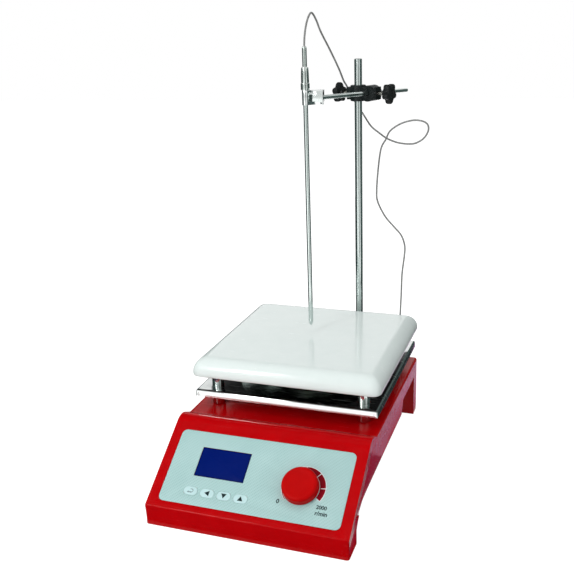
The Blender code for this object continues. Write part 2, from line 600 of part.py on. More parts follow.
inlet_body = INLET_HALF - 0.0025
inlet = piece("power_inlet", box((-inlet_body, inlet_body), (-0.026, 0.0010), (-0.011, 0.011)),
              black_plastic, at(INLET_X, DEPTH, REAR_Z))
add(inlet, box((-INLET_HALF, INLET_HALF), (GAP, 0.0024), (-0.0135, 0.0135)))
cut(inlet, prism([(-0.019, -0.0080), (0.005, -0.0080), (0.005, 0.004), (0.001, 0.0080),
                  (-0.015, 0.0080), (-0.019, 0.004)], -0.016, 0.01),
    Matrix.Rotation(-math.pi / 2, 4, "X"))
for x, z in ((-0.014, -0.002), (-0.007, 0.002), (0.0, -0.002)):
    add(inlet, box((x - 0.001, x + 0.001), (-0.018, -0.003), (z - 0.002, z + 0.002)))
cut(inlet, box((0.0085, 0.0185), (-0.0235, 0.01), (-0.0095, 0.0095)))
drawer = piece("fuse_drawer", box((0.0085 + GAP, 0.0185 - GAP), (-0.0230, 0.0034),
                                  (-0.0095 + GAP, 0.0095 - GAP)),
               black_plastic, at(INLET_X, DEPTH, REAR_Z))
cut(drawer, box((0.0110, 0.0160), (-0.0200, -0.0010), (-0.0065, 0.0200)))

switch = piece("power_switch", box((-0.0075, 0.0075), (-0.0200, 0.0010), (-0.011, 0.011)),
               black_plastic, at(SWITCH_X, DEPTH, REAR_Z))
add(switch, box((-0.0095, 0.0095), (GAP, 0.0020), (-0.0130, 0.0130)))
cut(switch, box((-0.0062, 0.0062), (-0.0060, 0.01), (-0.0104, 0.0104)))
ROCKER_TILT = math.radians(8.0)
rocker = [(-0.0035, -0.003), (-0.0035, 0.003), (0.0006, 0.0094), (0.0034, 0.0090), (0.0016, 0.0),
          (0.0034, -0.0090), (0.0006, -0.0094)]
piece("switch_rocker", prism(rocker, -0.0062 + GAP, 0.0062 - GAP, "X"), black_plastic,
      at(SWITCH_X, DEPTH + 0.0005, REAR_Z) @ Matrix.Rotation(-ROCKER_TILT, 4, "X"))

socket = piece("probe_socket", turned([
    (0.0045, -0.0105), (0.0065, -0.0100), (0.0065, GAP), (0.0085, GAP), (0.0082, 0.0018),
    (0.0052, 0.0018), (0.0052, -0.0080), (0.0, -0.0080)], 20), steel,
    at(PLUG_X, DEPTH, PLUG_Z) @ rear_facing)
plug = piece("probe_plug", turned([
    (0.0, -0.0076), (0.0049, -0.0076), (0.0049, 0.0022), (0.0072, 0.0022), (0.0072, 0.0120),
    (0.0062, 0.0132), (0.0, 0.0132)], 20), black_plastic, at(PLUG_X, DEPTH, PLUG_Z) @ rear_facing)
add(plug, turned([(0.0034, 0.0), (0.0034, 0.0110), (0.0022, 0.0165), (0.0018, 0.0175)], 16),
    at(0, 0, 0.0080) @ Matrix.Rotation(math.pi / 2, 4, "X"))

# Support rod in its holder ------------------------------------------------------------------------

holder_shape = prism(rounded(HOLDER_WIDTH, HOLDER_DEPTH, 0.003), HOLDER_LOW, HOLDER_HIGH)
holder_y = DEPTH + GAP + HOLDER_DEPTH / 2
holder = piece("rod_holder", holder_shape, black_cast, at(ROD_X, holder_y))
rod_local = ROD_Y - holder_y
rod_cut(holder, ROD_RADIUS + GAP, HOLDER_LOW + 0.004, HOLDER_HIGH + 0.01, at(0, rod_local), 28)
screw_z = (HOLDER_LOW + HOLDER_HIGH) / 2 + 0.004
rod_cut(holder, 0.002 + GAP, 0.0, 0.03, at(0, rod_local, screw_z) @ rear_facing, 16)
piece("support_rod", turned([
    (ROD_RADIUS - 0.0004, HOLDER_LOW + 0.004 + GAP), (ROD_RADIUS, HOLDER_LOW + 0.0048),
    (ROD_RADIUS, ROD_TOP - 0.0012), (ROD_RADIUS - 0.0012, ROD_TOP)], 32), stainless, at(*ROD_FOOT))


def star(shank_end, head_start, lobes=5, sides=30):
    """A star-headed screw along Z, its shank starting at shank_end."""
    def ring(radius, height, wave=0.0):
        points = []
        for k in range(sides):
            angle = math.tau * k / sides
            reach = radius + wave * math.cos(lobes * angle)
            points.append((reach * math.cos(angle), reach * math.sin(angle), height))
        return points
    top = head_start + STAR_THICK
    return loft([ring(0.0014, shank_end), ring(0.002, shank_end + 0.0006),
                 ring(0.002, head_start - 0.003), ring(0.0045, head_start - 0.003),
                 ring(0.0050, head_start), ring(STAR_RADIUS - 0.0008, head_start, STAR_LOBE),
                 ring(STAR_RADIUS, head_start + 0.0008, STAR_LOBE),
                 ring(STAR_RADIUS, top - 0.0010, STAR_LOBE),
                 ring(STAR_RADIUS - 0.0012, top, STAR_LOBE)])


def knurled(shank_end, head_start, sides=20):
    """A thumb screw along Z."""
    top = head_start + 0.007
    return turned([(0.0014, shank_end), (0.002, shank_end + 0.0006), (0.002, head_start),
                   (0.0056, head_start), (0.0062, head_start + 0.0008), (0.0062, top - 0.0008),
                   (0.0056, top)], sides)


wall_out = holder_y + HOLDER_DEPTH / 2 - ROD_Y
piece("holder_screw", knurled(ROD_RADIUS + GAP, wall_out + 0.0012), black_plastic,
      at(ROD_X, ROD_Y, screw_z) @ rear_facing)

# Cross clamp: local X along the block, local Y along the arm --------------------------------------

CLAMP = at(*CLAMP_POINT) @ Matrix.Rotation(CLAMP_TURN, 4, "Z")
block_middle = (CLAMP_RIGHT - CLAMP_LEFT) / 2
boss = piece("boss_head", moved(prism(rounded(CLAMP_LEFT + CLAMP_RIGHT, CLAMP_THICK, 0.002, 2),
                                      -CLAMP_HEIGHT / 2, CLAMP_HEIGHT / 2), at(block_middle)),
             black_cast, CLAMP)
rod_cut(boss, ROD_RADIUS + GAP, -0.02, 0.02, None, 28)
arm_local = at(ARM_OFFSET) @ Matrix.Rotation(-math.pi / 2 - ARM_TILT, 4, "X")
rod_cut(boss, ARM_RADIUS + GAP, -0.02, 0.02, arm_local, 20)
sideways = Matrix.Rotation(math.pi / 2, 4, "Y")
rod_cut(boss, 0.002 + GAP, 0.0, 0.03, at(-0.03) @ sideways, 16)
rod_cut(boss, 0.002 + GAP, 0.0, 0.03, at(ARM_OFFSET) @ sideways, 16)
piece("rod_screw", star(ROD_RADIUS + GAP, 0.0195), black_plastic,
      CLAMP @ Matrix.Rotation(math.pi, 4, "Z") @ sideways)
piece("arm_screw", star(ARM_OFFSET + ARM_RADIUS + GAP, 0.0330), black_plastic, CLAMP @ sideways)

ARM_FRAME = at(*ARM_POINT) @ Matrix.Rotation(CLAMP_TURN, 4, "Z") @ Matrix.Rotation(
    -math.pi / 2 - ARM_TILT, 4, "X")
flange_normal = Matrix.Rotation(CLIP_TURN, 3, "Z") @ Vector((1, 0, 0))
to_local = ARM_FRAME.inverted().to_3x3()
normal_local = to_local @ flange_normal
arm_rings = []
circle = [(ARM_RADIUS * math.cos(math.tau * k / 20), ARM_RADIUS * math.sin(math.tau * k / 20))
          for k in range(20)]
arm_rings.append([(x, y, -ARM_REACH - (x * normal_local.x + y * normal_local.y) / normal_local.z)
                  for x, y in circle])
arm_rings.append([(x, y, ARM_TAIL) for x, y in circle])
piece("clamp_arm", loft(arm_rings), stainless, ARM_FRAME)

ring_path = arc((0.0, 0.0), CLIP_RING, -30, 270, 20)
clip_path = ring_path + [(0.004, -CLIP_RING), (CLIP_REACH - 0.0006, -CLIP_RING),
                         (CLIP_REACH, -CLIP_RING + 0.0006), (CLIP_REACH, -CLIP_RING + 0.0115)]
clip_place = at(PROBE.x, PROBE.y) @ Matrix.Rotation(CLIP_TURN, 4, "Z")
piece("probe_clip", prism(ribbon(clip_path, CLIP_SHEET), CLIP_LOW, CLIP_TOP), stainless, clip_place)

# Temperature probe hanging in the clip ------------------------------------------------------------

collar_low = CLIP_TOP + GAP
handle_low = collar_low + 0.0063
handle_top = collar_low + 0.0205
sleeve_low = handle_top + GAP
sheath_place = at(PROBE.x, PROBE.y)
piece("probe_sheath", turned([
    (0.0, PROBE_TIP), (0.0009, PROBE_TIP + 0.0006), (SHEATH_RADIUS, PROBE_TIP + 0.0055),
    (SHEATH_RADIUS, handle_low + 0.010)], 24), stainless, sheath_place)
piece("probe_handle", turned([
    (SHEATH_RADIUS + GAP, collar_low), (0.0039, collar_low), (0.0042, collar_low + 0.0004),
    (0.0042, handle_low - 0.0004), (0.0038, handle_low), (0.0038, handle_top - 0.0006),
    (0.0033, handle_top), (0.0, handle_top), (0.0, handle_low + 0.010 + GAP),
    (SHEATH_RADIUS + GAP, handle_low + 0.010 + GAP)], 20, closed=True), steel, sheath_place)
piece("probe_sleeve", turned([
    (0.0022, sleeve_low), (0.0022, PROBE_TOP - 0.0032), (0.0017, PROBE_TOP - 0.0008),
    (0.0013, PROBE_TOP)], 20), steel, sheath_place)

# Probe cord: up from the sleeve, over and behind the clamp, one loose loop, down to the rear socket

NECK = 0.0080               # plug's upward neck, behind the rear wall
NECK_TOP = 0.0175
PLUG_TOP = Vector((PLUG_X, DEPTH + NECK, PLUG_Z + NECK_TOP))
EXIT = Vector((PROBE.x, PROBE.y, PROBE_TOP))


def route():
    """Hand-laid points in millimetres from the probe's top, the clamp and the plug."""
    points = [EXIT + Vector(p) / 1000 for p in (
        (0, 0, GAP * 1000), (0.5, 0.2, 9), (1.7, 1.4, 18), (3.0, 5.0, 25.5), (4.0, 12, 29.2),
        (5.0, 22, 23), (6.3, 32, 12.2), (9.8, 50, -5), (12.5, 70, -23))]
    points += [CLAMP_POINT + Vector(p) / 1000 for p in (
        (-13.2, -8, 13), (-13.4, 3.4, 7.4), (-10.8, 13.2, -3), (-6, 17, -14), (1.0, 15.5, -22.7),
        (10.5, 12, -35), (20.6, 10, -42.4), (28.5, 8.5, -47.3), (39.5, 6.5, -51), (51.4, 4.5, -52.1),
        (59.9, 3, -50.8), (68.2, 2, -45.5), (72.8, 0.8, -37.3), (71.3, 0, -30.7), (64.2, -0.5, -27.7),
        (55.1, -0.5, -27.8), (43.7, 0, -31.4), (33.2, 1, -38.6), (28.8, 2, -47), (23.5, 2, -57.4),
        (20.5, 2, -79.4), (19, 2, -101.8), (20.3, 2, -113.6), (28.5, 1, -128.6), (38.3, 0, -139.2),
        (46.5, -1, -148.1), (50.4, -1.5, -159.1), (50.1, -1.5, -170.4), (47.9, -1.5, -190.2),
        (47.3, -1.7, -211.9), (46.7, -2.2, -230.5))]
    points += [PLUG_TOP + Vector(p) / 1000 for p in ((0.4, 0.6, 32), (0, 0, 12), (0, 0, GAP * 1000))]
    return points


def smooth(points, spacing):
    """Evenly spaced points of the smooth curve through the route points."""
    fine = []
    for k in range(len(points) - 1):
        a = points[max(k - 1, 0)]
        b, c = points[k], points[k + 1]
        d = points[min(k + 2, len(points) - 1)]
        for n in range(24):
            t = n / 24
            fine.append(0.5 * (2 * b + (c - a) * t + (2 * a - 5 * b + 4 * c - d) * t * t
                               + (3 * b - a - 3 * c + d) * t ** 3))
    fine.append(points[-1])
    even = [fine[0]]
    left = spacing
    for a, b in zip(fine, fine[1:]):
        length = (b - a).length
        done = 0.0
        while length - done >= left:
            done += left
            even.append(a.lerp(b, done / length))
            left = spacing
        left -= length - done
    if (even[-1] - fine[-1]).length < spacing * 0.6:
        even.pop()
    even.append(fine[-1])
    return even


def cord(name, points):
    curve = bpy.data.curves.new(name, "CURVE")
    curve.dimensions = "3D"
    curve.bevel_depth = CORD_RADIUS
    curve.bevel_resolution = 2
    curve.use_fill_caps = True
    line = curve.splines.new("POLY")
    line.points.add(len(points) - 1)
    for target, point in zip(line.points, points):
        target.co = (*point, 1.0)
    curve.materials.append(grey_cord)
    made = bpy.data.objects.new(name, curve)
    bpy.context.scene.collection.objects.link(made)
    made.parent = FRAME


def shortened(points, start, end):
    """The line with its two ends drawn back a little."""
    first = points[0] + (points[1] - points[0]).normalized() * start
    last = points[-1] + (points[-2] - points[-1]).normalized() * end
    return [first] + points[1:-1] + [last]


def nearest(points, x, y, z):
    """Number of the point nearest to a place given from the clamp."""
    place = CLAMP_POINT + Vector((x, y, z))
    return min(range(len(points)), key=lambda k: (points[k] - place).length)


line = smooth(route(), 0.0072)
halfway = nearest(line, -0.0201, -0.0518, 0.0531)
over = nearest(line, -0.0125, -0.004, 0.0115)
below = nearest(line, 0.0245, 0.009, -0.045)
cord("probe_cord_top", shortened(line[:halfway + 1], 0.0, GAP / 2))
cord("probe_cord_arm", shortened(line[halfway:over], GAP / 2, GAP / 2))
cord("probe_cord_clamp", shortened(line[over - 1:below + 1], GAP / 2, GAP / 2))
cord("probe_cord_base", shortened(line[below:], GAP / 2, 0.0))
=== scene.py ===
import math

import bmesh
import bpy
from mathutils import Matrix, Vector


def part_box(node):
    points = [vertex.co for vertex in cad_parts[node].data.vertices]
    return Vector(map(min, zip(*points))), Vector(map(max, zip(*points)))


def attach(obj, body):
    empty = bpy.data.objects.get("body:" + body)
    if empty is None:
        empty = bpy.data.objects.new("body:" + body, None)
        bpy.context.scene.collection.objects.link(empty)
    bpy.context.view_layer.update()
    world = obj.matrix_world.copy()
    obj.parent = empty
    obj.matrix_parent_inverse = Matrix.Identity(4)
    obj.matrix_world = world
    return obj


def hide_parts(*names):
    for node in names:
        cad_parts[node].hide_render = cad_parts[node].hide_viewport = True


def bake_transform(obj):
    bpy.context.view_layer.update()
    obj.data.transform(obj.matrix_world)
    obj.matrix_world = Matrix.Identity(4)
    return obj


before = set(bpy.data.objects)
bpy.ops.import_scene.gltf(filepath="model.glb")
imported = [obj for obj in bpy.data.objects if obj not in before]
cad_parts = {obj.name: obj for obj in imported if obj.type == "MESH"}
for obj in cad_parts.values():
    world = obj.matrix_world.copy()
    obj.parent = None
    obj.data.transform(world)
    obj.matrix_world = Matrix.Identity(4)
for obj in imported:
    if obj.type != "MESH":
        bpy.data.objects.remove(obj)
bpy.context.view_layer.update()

scene = bpy.context.scene
scene.view_settings.view_transform = "Standard"
print("frame loaded:", len(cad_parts), "nodes")


def low(node):
    return Vector(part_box(node)[0])


def high(node):
    return Vector(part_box(node)[1])


def middle(node):
    return (low(node) + high(node)) / 2


def span(node):
    return low(node).z, high(node).z


def place(x=0.0, y=0.0, z=0.0):
    return Matrix.Translation((x, y, z))


def upright(node):
    # the Z axis through a node's middle
    return place(*middle(node).xy)


def turn(degrees, axis):
    return Matrix.Rotation(math.radians(degrees), 4, axis)


def addObject(name, data):
    made = bpy.data.objects.new(name, data)
    scene.collection.objects.link(made)
    return made


def newMaterial(name):
    material = bpy.data.materials.new(name)
    material.use_nodes = True
    return material, material.node_tree


# angles in degrees and places that several pieces share
slopeAngle = 33.4
lipBack, lipTop = 0.0011, 0.0192  # where the slope starts, behind the front and above the bench
blockTurn = -16.5  # the clamp and its arm, as seen from above
armDip = -92  # two past level, so the tail hangs low
clipTurn = 10  # the clip, as seen from above
armOffset = 0.015  # clamp's rod bore to its arm bore
corners = ("front_left", "front_right", "rear_left", "rear_right")
identity = Matrix()
frontY, rearY = low("housing").y, high("housing").y
slope = place(0, frontY + lipBack, lipTop) @ turn(slopeAngle, "X")  # X across, Y up the slope, Z out of it
rearFacing = turn(-90, "X")  # Z points back, Y down
sideways = turn(90, "Y")
plate = middle("hot_plate")
rod = middle("support_rod")
clampPoint = Vector((rod.x, rod.y, middle("boss_head").z))
clamp = place(*clampPoint) @ turn(blockTurn, "Z")  # X along the block, Y along the arm
arm = place(*(clamp @ Vector((armOffset, 0, 0)))) @ turn(blockTurn, "Z") @ turn(armDip, "X")
probe = middle("probe_sheath")
probeTop = Vector((probe.x, probe.y, high("probe_sleeve").z))

# camera: azimuth, elevation and roll in degrees, the rest in metres
cameraView = {"lens": 50.65, "azimuth": 19.924, "elevation": 17.648, "roll": -1.951, "distance": 0.9464,
              "target": (-0.06873, 0.31835 + frontY, 0.120)}


def makeCamera(view):
    azimuth, elevation, roll = (math.radians(view[key]) for key in ("azimuth", "elevation", "roll"))
    back = Vector((math.sin(azimuth) * math.cos(elevation), -math.cos(azimuth) * math.cos(elevation),
                   math.sin(elevation)))
    right = Vector((math.cos(azimuth), math.sin(azimuth), 0.0))
    up = back.cross(right)
    across = right * math.cos(roll) + up * math.sin(roll)
    upward = up * math.cos(roll) - right * math.sin(roll)
    data = bpy.data.cameras.new("camera")
    data.lens = view["lens"]
    data.sensor_width = 36
    data.clip_start = 0.05
    scene.camera = addObject("camera", data)
    axes = Matrix((across, upward, back)).transposed().to_4x4()
    scene.camera.matrix_world = place(*(Vector(view["target"]) + back * view["distance"])) @ axes


makeCamera(cameraView)


def addNode(tree, kind, inputs=None, **settings):
    # inputs are plain values or other nodes' sockets
    node = tree.nodes.new(kind if kind.startswith("GeometryNode") else "ShaderNode" + kind)
    for key, value in settings.items():
        setattr(node, key, value)
    for key, source in (inputs or {}).items():
        if isinstance(source, bpy.types.NodeSocket):
            tree.links.new(source, node.inputs[key])
        else:
            node.inputs[key].default_value = source
    return node


def maths(tree, operation, *sources, **settings):
    return addNode(tree, "Math", dict(enumerate(sources)), operation=operation, **settings).outputs[0]


def noise(tree, vector, scale, detail=2.0, roughness=0.5):
    return addNode(tree, "TexNoise", {"Vector": vector, "Scale": scale, "Detail": detail,
                                      "Roughness": roughness}).outputs["Fac"]


def mapped(tree, vector, scale=(1, 1, 1), rotation=(0, 0, 0)):
    return addNode(tree, "Mapping", {"Vector": vector, "Scale": scale, "Rotation": rotation}).outputs["Vector"]


def diagonalWave(tree, vector, scale):
    return addNode(tree, "TexWave", {"Vector": vector, "Scale": scale, "Distortion": 0.0}, wave_type="BANDS",
                   bands_direction="DIAGONAL").outputs["Fac"]


def spread(tree, value, first, last, lowest=0.0, highest=1.0):
    # takes first to lowest and last to highest
    return addNode(tree, "MapRange", {"Value": value, "From Min": first, "From Max": last, "To Min": lowest,
                                      "To Max": highest}).outputs["Result"]


def mottle(tree, given):
    # slow change between two values, for gloss and for colour
    patches = noise(tree, given["Vector"], given["Scale"], 4.0, 0.6)
    return spread(tree, patches, 0.33, 0.67, given["Low"], given["High"])


def grain(tree, given):
    # fine grain over a slower wave, as on paint, cast metal and moulded plastic
    fine = noise(tree, given["Vector"], given["Scale"])
    slow = noise(tree, given["Vector"], maths(tree, "MULTIPLY", given["Scale"], 0.22), 1.0)
    return spread(tree, given["Wave"], 0.0, 1.0, fine, slow)


def hairScratches(tree, given):
    # sparse hair lines from two noises stretched crosswise
    masks = []
    for angle, stretch in ((0.5, 26.0), (2.2, 34.0)):
        lengthened = mapped(tree, given["Vector"], (1.0, stretch, 4.0), (angle * 0.3, angle * 0.2, angle))
        masks.append(spread(tree, noise(tree, lengthened, given["Scale"], 1.0), 0.68, 0.74))
    return maths(tree, "MULTIPLY", maths(tree, "MAXIMUM", *masks), given["Amount"])


def dustSpecks(tree, given):
    # small separate specks, thicker in some patches
    cells = addNode(tree, "TexVoronoi", {"Vector": given["Vector"], "Scale": given["Scale"], "Randomness": 1.0})
    dots = spread(tree, cells.outputs["Distance"], 0.16, 0.08)
    patches = spread(tree, noise(tree, given["Vector"], 35.0), 0.45, 0.7)
    return maths(tree, "MULTIPLY", maths(tree, "MULTIPLY", dots, patches), given["Amount"])


def diagonalHatch(tree, given):
    # fine diagonal hatch, for the printed foil
    lines = diagonalWave(tree, given["Vector"], given["Scale"])
    mirrored = mapped(tree, given["Vector"], (-1.0, 1.0, 1.0))
    others = diagonalWave(tree, mirrored, maths(tree, "MULTIPLY", given["Scale"], 0.61))
    return maths(tree, "MULTIPLY", maths(tree, "MULTIPLY", lines, others), given["Contrast"])


def cordBraid(tree, given):
    # crossing strands along a cord, from its own map of length and turn
    strands = [diagonalWave(tree, mapped(tree, given["Vector"], (way, 4.0, 1.0)), given["Scale"])
               for way in (6.0, -6.0)]
    return maths(tree, "MAXIMUM", *strands)


def newTree(name, kind, output, inputs):
    # inputs are kinds and values by label; gives the tree, what it reads, what it puts out and the sockets' names
    tree = bpy.data.node_groups.new(name, kind + "NodeTree")
    names = {}
    for label, (form, value) in inputs.items():
        socket = tree.interface.new_socket(name=label, in_out="INPUT", socket_type="NodeSocket" + form)
        if value is not None:
            socket.default_value = value
        names[label] = socket.identifier
    tree.interface.new_socket(name=output, in_out="OUTPUT",
                              socket_type="NodeSocket" + ("Float" if kind == "Shader" else "Geometry"))
    return (tree, tree.nodes.new("NodeGroupInput").outputs, tree.nodes.new("NodeGroupOutput").inputs[output], names)


def makeGroup(build, output, **numbers):
    # a shader group that reads a vector and some numbers, and puts out one number
    inputs = {"Vector": ("Vector", None), **{label: ("Float", value) for label, value in numbers.items()}}
    tree, given, result, names = newTree(build.__name__, "Shader", output, inputs)
    tree.links.new(build(tree, given), result)
    return tree


groups = {"mottle": makeGroup(mottle, "Value", Scale=40.0, Low=0.0, High=1.0),
          "grain": makeGroup(grain, "Height", Scale=900.0, Wave=0.4),
          "scratches": makeGroup(hairScratches, "Mask", Scale=30.0, Amount=0.3),
          "dust": makeGroup(dustSpecks, "Mask", Scale=250.0, Amount=0.2),
          "hatch": makeGroup(diagonalHatch, "Mask", Scale=300.0, Contrast=1.0),
          "braid": makeGroup(cordBraid, "Height", Scale=1.0)}


def surface(slot, colour, second, gloss, grain, **more):
    # colour and its second tone are scene-linear; gloss is the roughness from smooth to rough; grain is its
    # scale and depth in metres; stretch draws a pattern out along an axis, as brushing does
    return {"slot": slot, "colour": colour, "second": second, "gloss": gloss, "grain": grain, **more}


finishes = {
    "redPaint": surface("red_paint", (0.46, 0.0006, 0.0022), (0.41, 0.0005, 0.0018), (0.14, 0.22), (700, 0.00002),
                        specular=0.10, scratches=0.1, dust=0.04),
    "blackSteel": surface("black_steel", (0.028, 0.028, 0.03), (0.04, 0.04, 0.042), (0.4, 0.6), (1500, 0.00003),
                          scratches=0.3, dust=0.2),
    "footRubber": surface("rubber", (0.018, 0.018, 0.018), (0.035, 0.034, 0.033), (0.65, 0.9), (1800, 0.00003),
                          dust=0.4),
    "panelFoil": surface("foil", (0.405, 0.595, 0.585), (0.37, 0.56, 0.55), (0.36, 0.5), (2500, 0.00001),
                         hatch=(300, 0.8, (0.26, 0.43, 0.42)), specular=0.3, tilt=-slopeAngle),
    "displayPane": surface("display", (0.0005, 0.006, 0.095), (0.0005, 0.005, 0.085), (0.12, 0.2), (600, 0.000004),
                           scratches=0.06, specular=0.2, glow=((0.0, 0.010, 0.12), 0.35)),
    "keyPlastic": surface("pale_plastic", (0.50, 0.70, 0.71), (0.47, 0.67, 0.68), (0.34, 0.48), (2200, 0.00001),
                          dust=0.08),
    "boardGreen": surface("board", (0.015, 0.15, 0.06), (0.02, 0.20, 0.08), (0.35, 0.55), (1200, 0.00002),
                          dust=0.2),
    "knobRed": surface("knob_red", (0.46, 0.0006, 0.0008), (0.42, 0.0005, 0.0008), (0.34, 0.46), (1600, 0.00001),
                       scratches=0.08, specular=0.06),
    "turnedSteel": surface("steel", (0.58, 0.64, 0.61), (0.50, 0.56, 0.53), (0.1, 0.2), (260, 0.00001),
                           metallic=1.0, stretch=(1, 1, 14), scratches=0.2),
    "groundStainless": surface("stainless", (0.66, 0.73, 0.71), (0.60, 0.67, 0.65), (0.07, 0.16), (240, 0.000006),
                               metallic=1.0, stretch=(1, 1, 18), scratches=0.15),
    "trayStainless": surface("stainless", (0.80, 0.83, 0.82), (0.74, 0.77, 0.76), (0.05, 0.12), (160, 0.000008),
                             metallic=1.0, stretch=(0.15, 4, 4), scratches=0.25),
    "zincPlate": surface("zinc", (0.50, 0.50, 0.47), (0.40, 0.41, 0.36), (0.3, 0.5), (700, 0.00002), metallic=1.0,
                         scratches=0.2),
    "magnetNickel": surface("magnet", (0.30, 0.30, 0.29), (0.2, 0.2, 0.2), (0.25, 0.45), (900, 0.00001),
                            metallic=1.0, scratches=0.3),
    "whiteEnamel": surface("enamel", (0.745, 0.82, 0.80), (0.72, 0.80, 0.78), (0.12, 0.22), (240, 0.00003),
                           coat=(0.4, 0.05), scratches=0.08, dust=0.12),
    "micaSheet": surface("mica", (0.40, 0.32, 0.20), (0.52, 0.44, 0.30), (0.4, 0.7), (700, 0.00004), dust=0.3),
    "woolPad": surface("wool", (0.74, 0.72, 0.66), (0.60, 0.58, 0.52), (0.85, 1.0), (900, 0.0003)),
    "blackCast": surface("black_cast", (0.007, 0.011, 0.011), (0.012, 0.017, 0.017), (0.28, 0.45), (1100, 0.00004),
                         specular=0.25, scratches=0.15, dust=0.12),
    "blackPlastic": surface("black_plastic", (0.007, 0.009, 0.009), (0.012, 0.014, 0.014), (0.3, 0.48),
                            (1500, 0.00003), specular=0.25, dust=0.1),
    "cordGrey": surface("cord", (0.19, 0.195, 0.19), (0.27, 0.275, 0.27), (0.42, 0.6), (1800, 0.00002),
                        braid=0.00006),
    "woundCopper": surface("transformer", (0.45, 0.17, 0.06), (0.20, 0.09, 0.05), (0.35, 0.6), (400, 0.0001),
                           stretch=(1, 1, 20), metallic=0.6),
    "scaleRed": surface("knob_red", (0.225, 0.0006, 0.008), (0.20, 0.0006, 0.007), (0.42, 0.55), (2000, 0.000005),
                        specular=0.08),
    "printWhite": surface("pale_plastic", (0.80, 0.84, 0.84), (0.76, 0.80, 0.80), (0.45, 0.6), (2000, 0.000005)),
    "printDark": surface("black_plastic", (0.008, 0.022, 0.024), (0.012, 0.03, 0.032), (0.45, 0.6),
                         (2000, 0.000005), specular=0.25),
    "displayInk": surface("display", (0.0008, 0.005, 0.045), (0.0008, 0.004, 0.04), (0.2, 0.3), (2000, 0.000005),
                          specular=0.2),
    "printGrey": surface("black_plastic", (0.20, 0.30, 0.31), (0.24, 0.34, 0.35), (0.45, 0.6), (2000, 0.000005),
                         specular=0.25),
    "pinBrass": surface("steel", (0.60, 0.52, 0.36), (0.52, 0.44, 0.30), (0.2, 0.35), (900, 0.00001), metallic=1.0,
                        scratches=0.2),
}


def makeFinish(name, look):
    material, tree = newMaterial(name)
    shader = tree.nodes["Principled BSDF"]
    spots = addNode(tree, "TexCoord").outputs
    plain = mapped(tree, spots["Object"], rotation=(math.radians(look.get("tilt", 0.0)), 0, 0))
    drawn = mapped(tree, plain, look.get("stretch", (1, 1, 1)))

    def group(kind, vector, **values):
        return addNode(tree, "Group", {"Vector": vector, **values}, node_tree=groups[kind]).outputs[0]

    def mixed(factor, first, second):
        first, second = ((*tone, 1.0) if isinstance(tone, tuple) else tone for tone in (first, second))
        return addNode(tree, "Mix", {0: factor, 6: first, 7: second}, data_type="RGBA").outputs[2]

    smooth, rough = look["gloss"]
    colour = mixed(group("mottle", drawn, Scale=55.0), look["colour"], look["second"])
    roughness = group("mottle", drawn, Scale=130.0, Low=smooth, High=rough)
    if "hatch" in look:
        scale, contrast, tone = look["hatch"]
        colour = mixed(group("hatch", plain, Scale=scale, Contrast=contrast), colour, tone)
    if "dust" in look:
        pale = tuple(0.6 * value + 0.3 for value in look["colour"])
        colour = mixed(group("dust", plain, Amount=look["dust"]), colour, pale)
    if "scratches" in look:
        marks = group("scratches", plain, Amount=look["scratches"])
        roughness = maths(tree, "ADD", roughness, marks, use_clamp=True)
    tree.links.new(colour, shader.inputs["Base Color"])
    tree.links.new(roughness, shader.inputs["Roughness"])
    scale, depth = look["grain"]
    bump = addNode(tree, "Bump", {"Strength": 0.6, "Distance": depth,
                                  "Height": group("grain", drawn, Scale=float(scale))})
    if "braid" in look:
        bump = addNode(tree, "Bump", {"Strength": 1.0, "Distance": look["braid"],
                                      "Height": group("braid", spots["UV"]), "Normal": bump.outputs["Normal"]})
    tree.links.new(bump.outputs["Normal"], shader.inputs["Normal"])
    coat, coatRoughness = look.get("coat", (0.0, 0.03))
    for label, value in (("Metallic", look.get("metallic", 0.0)), ("Coat Weight", coat),
                         ("Specular IOR Level", look.get("specular", 0.5)), ("Coat Roughness", coatRoughness)):
        shader.inputs[label].default_value = value
    if "glow" in look:
        tone, strength = look["glow"]
        shader.inputs["Emission Color"].default_value = (*tone, 1.0)
        shader.inputs["Emission Strength"].default_value = strength
    return material


materials = {name: makeFinish(name, look) for name, look in finishes.items()}
print("finishes made:", len(materials))


def loft(rings, closed=False):
    # skin between rings of equal length, or from a ring to a single point
    shape = bmesh.new()
    made = [[shape.verts.new(point) for point in ring] for ring in rings]
    pairs = list(zip(made, made[1:]))
    if closed:
        pairs.append((made[-1], made[0]))
    for lower, upper in pairs:
        count = max(len(lower), len(upper))
        for k in range(count):
            n = (k + 1) % count
            patch = [lower[k % len(lower)], lower[n % len(lower)], upper[n % len(upper)], upper[k % len(upper)]]
            patch = list(dict.fromkeys(patch))
            if len(patch) > 2:
                shape.faces.new(patch)
    if not closed:
        for ring in (made[0], made[-1]):
            if len(ring) > 2:
                shape.faces.new(ring)
    return shape


def circle(radius, sides):
    return [(radius * math.cos(math.tau * k / sides), radius * math.sin(math.tau * k / sides))
            for k in range(sides)]


def turned(profile, sides=64, closed=False):
    # a profile of radius and height, spun round Z
    return loft([[(x, y, height) for x, y in circle(radius, sides)] if radius else [(0.0, 0.0, height)]
                 for radius, height in profile], closed)


def prism(outline, lowest, highest, axis="Z"):
    if axis == "X":
        return loft([[(level, a, b) for a, b in outline] for level in (lowest, highest)])
    return loft([[(a, b, level) for a, b in outline] for level in (lowest, highest)])


def block(x, y, z):
    return prism([(x[0], y[0]), (x[1], y[0]), (x[1], y[1]), (x[0], y[1])], z[0], z[1])


def arc(centre, radius, first, last, steps):
    angles = [math.radians(first + (last - first) * k / steps) for k in range(steps + 1)]
    return [(centre[0] + radius * math.cos(a), centre[1] + radius * math.sin(a)) for a in angles]


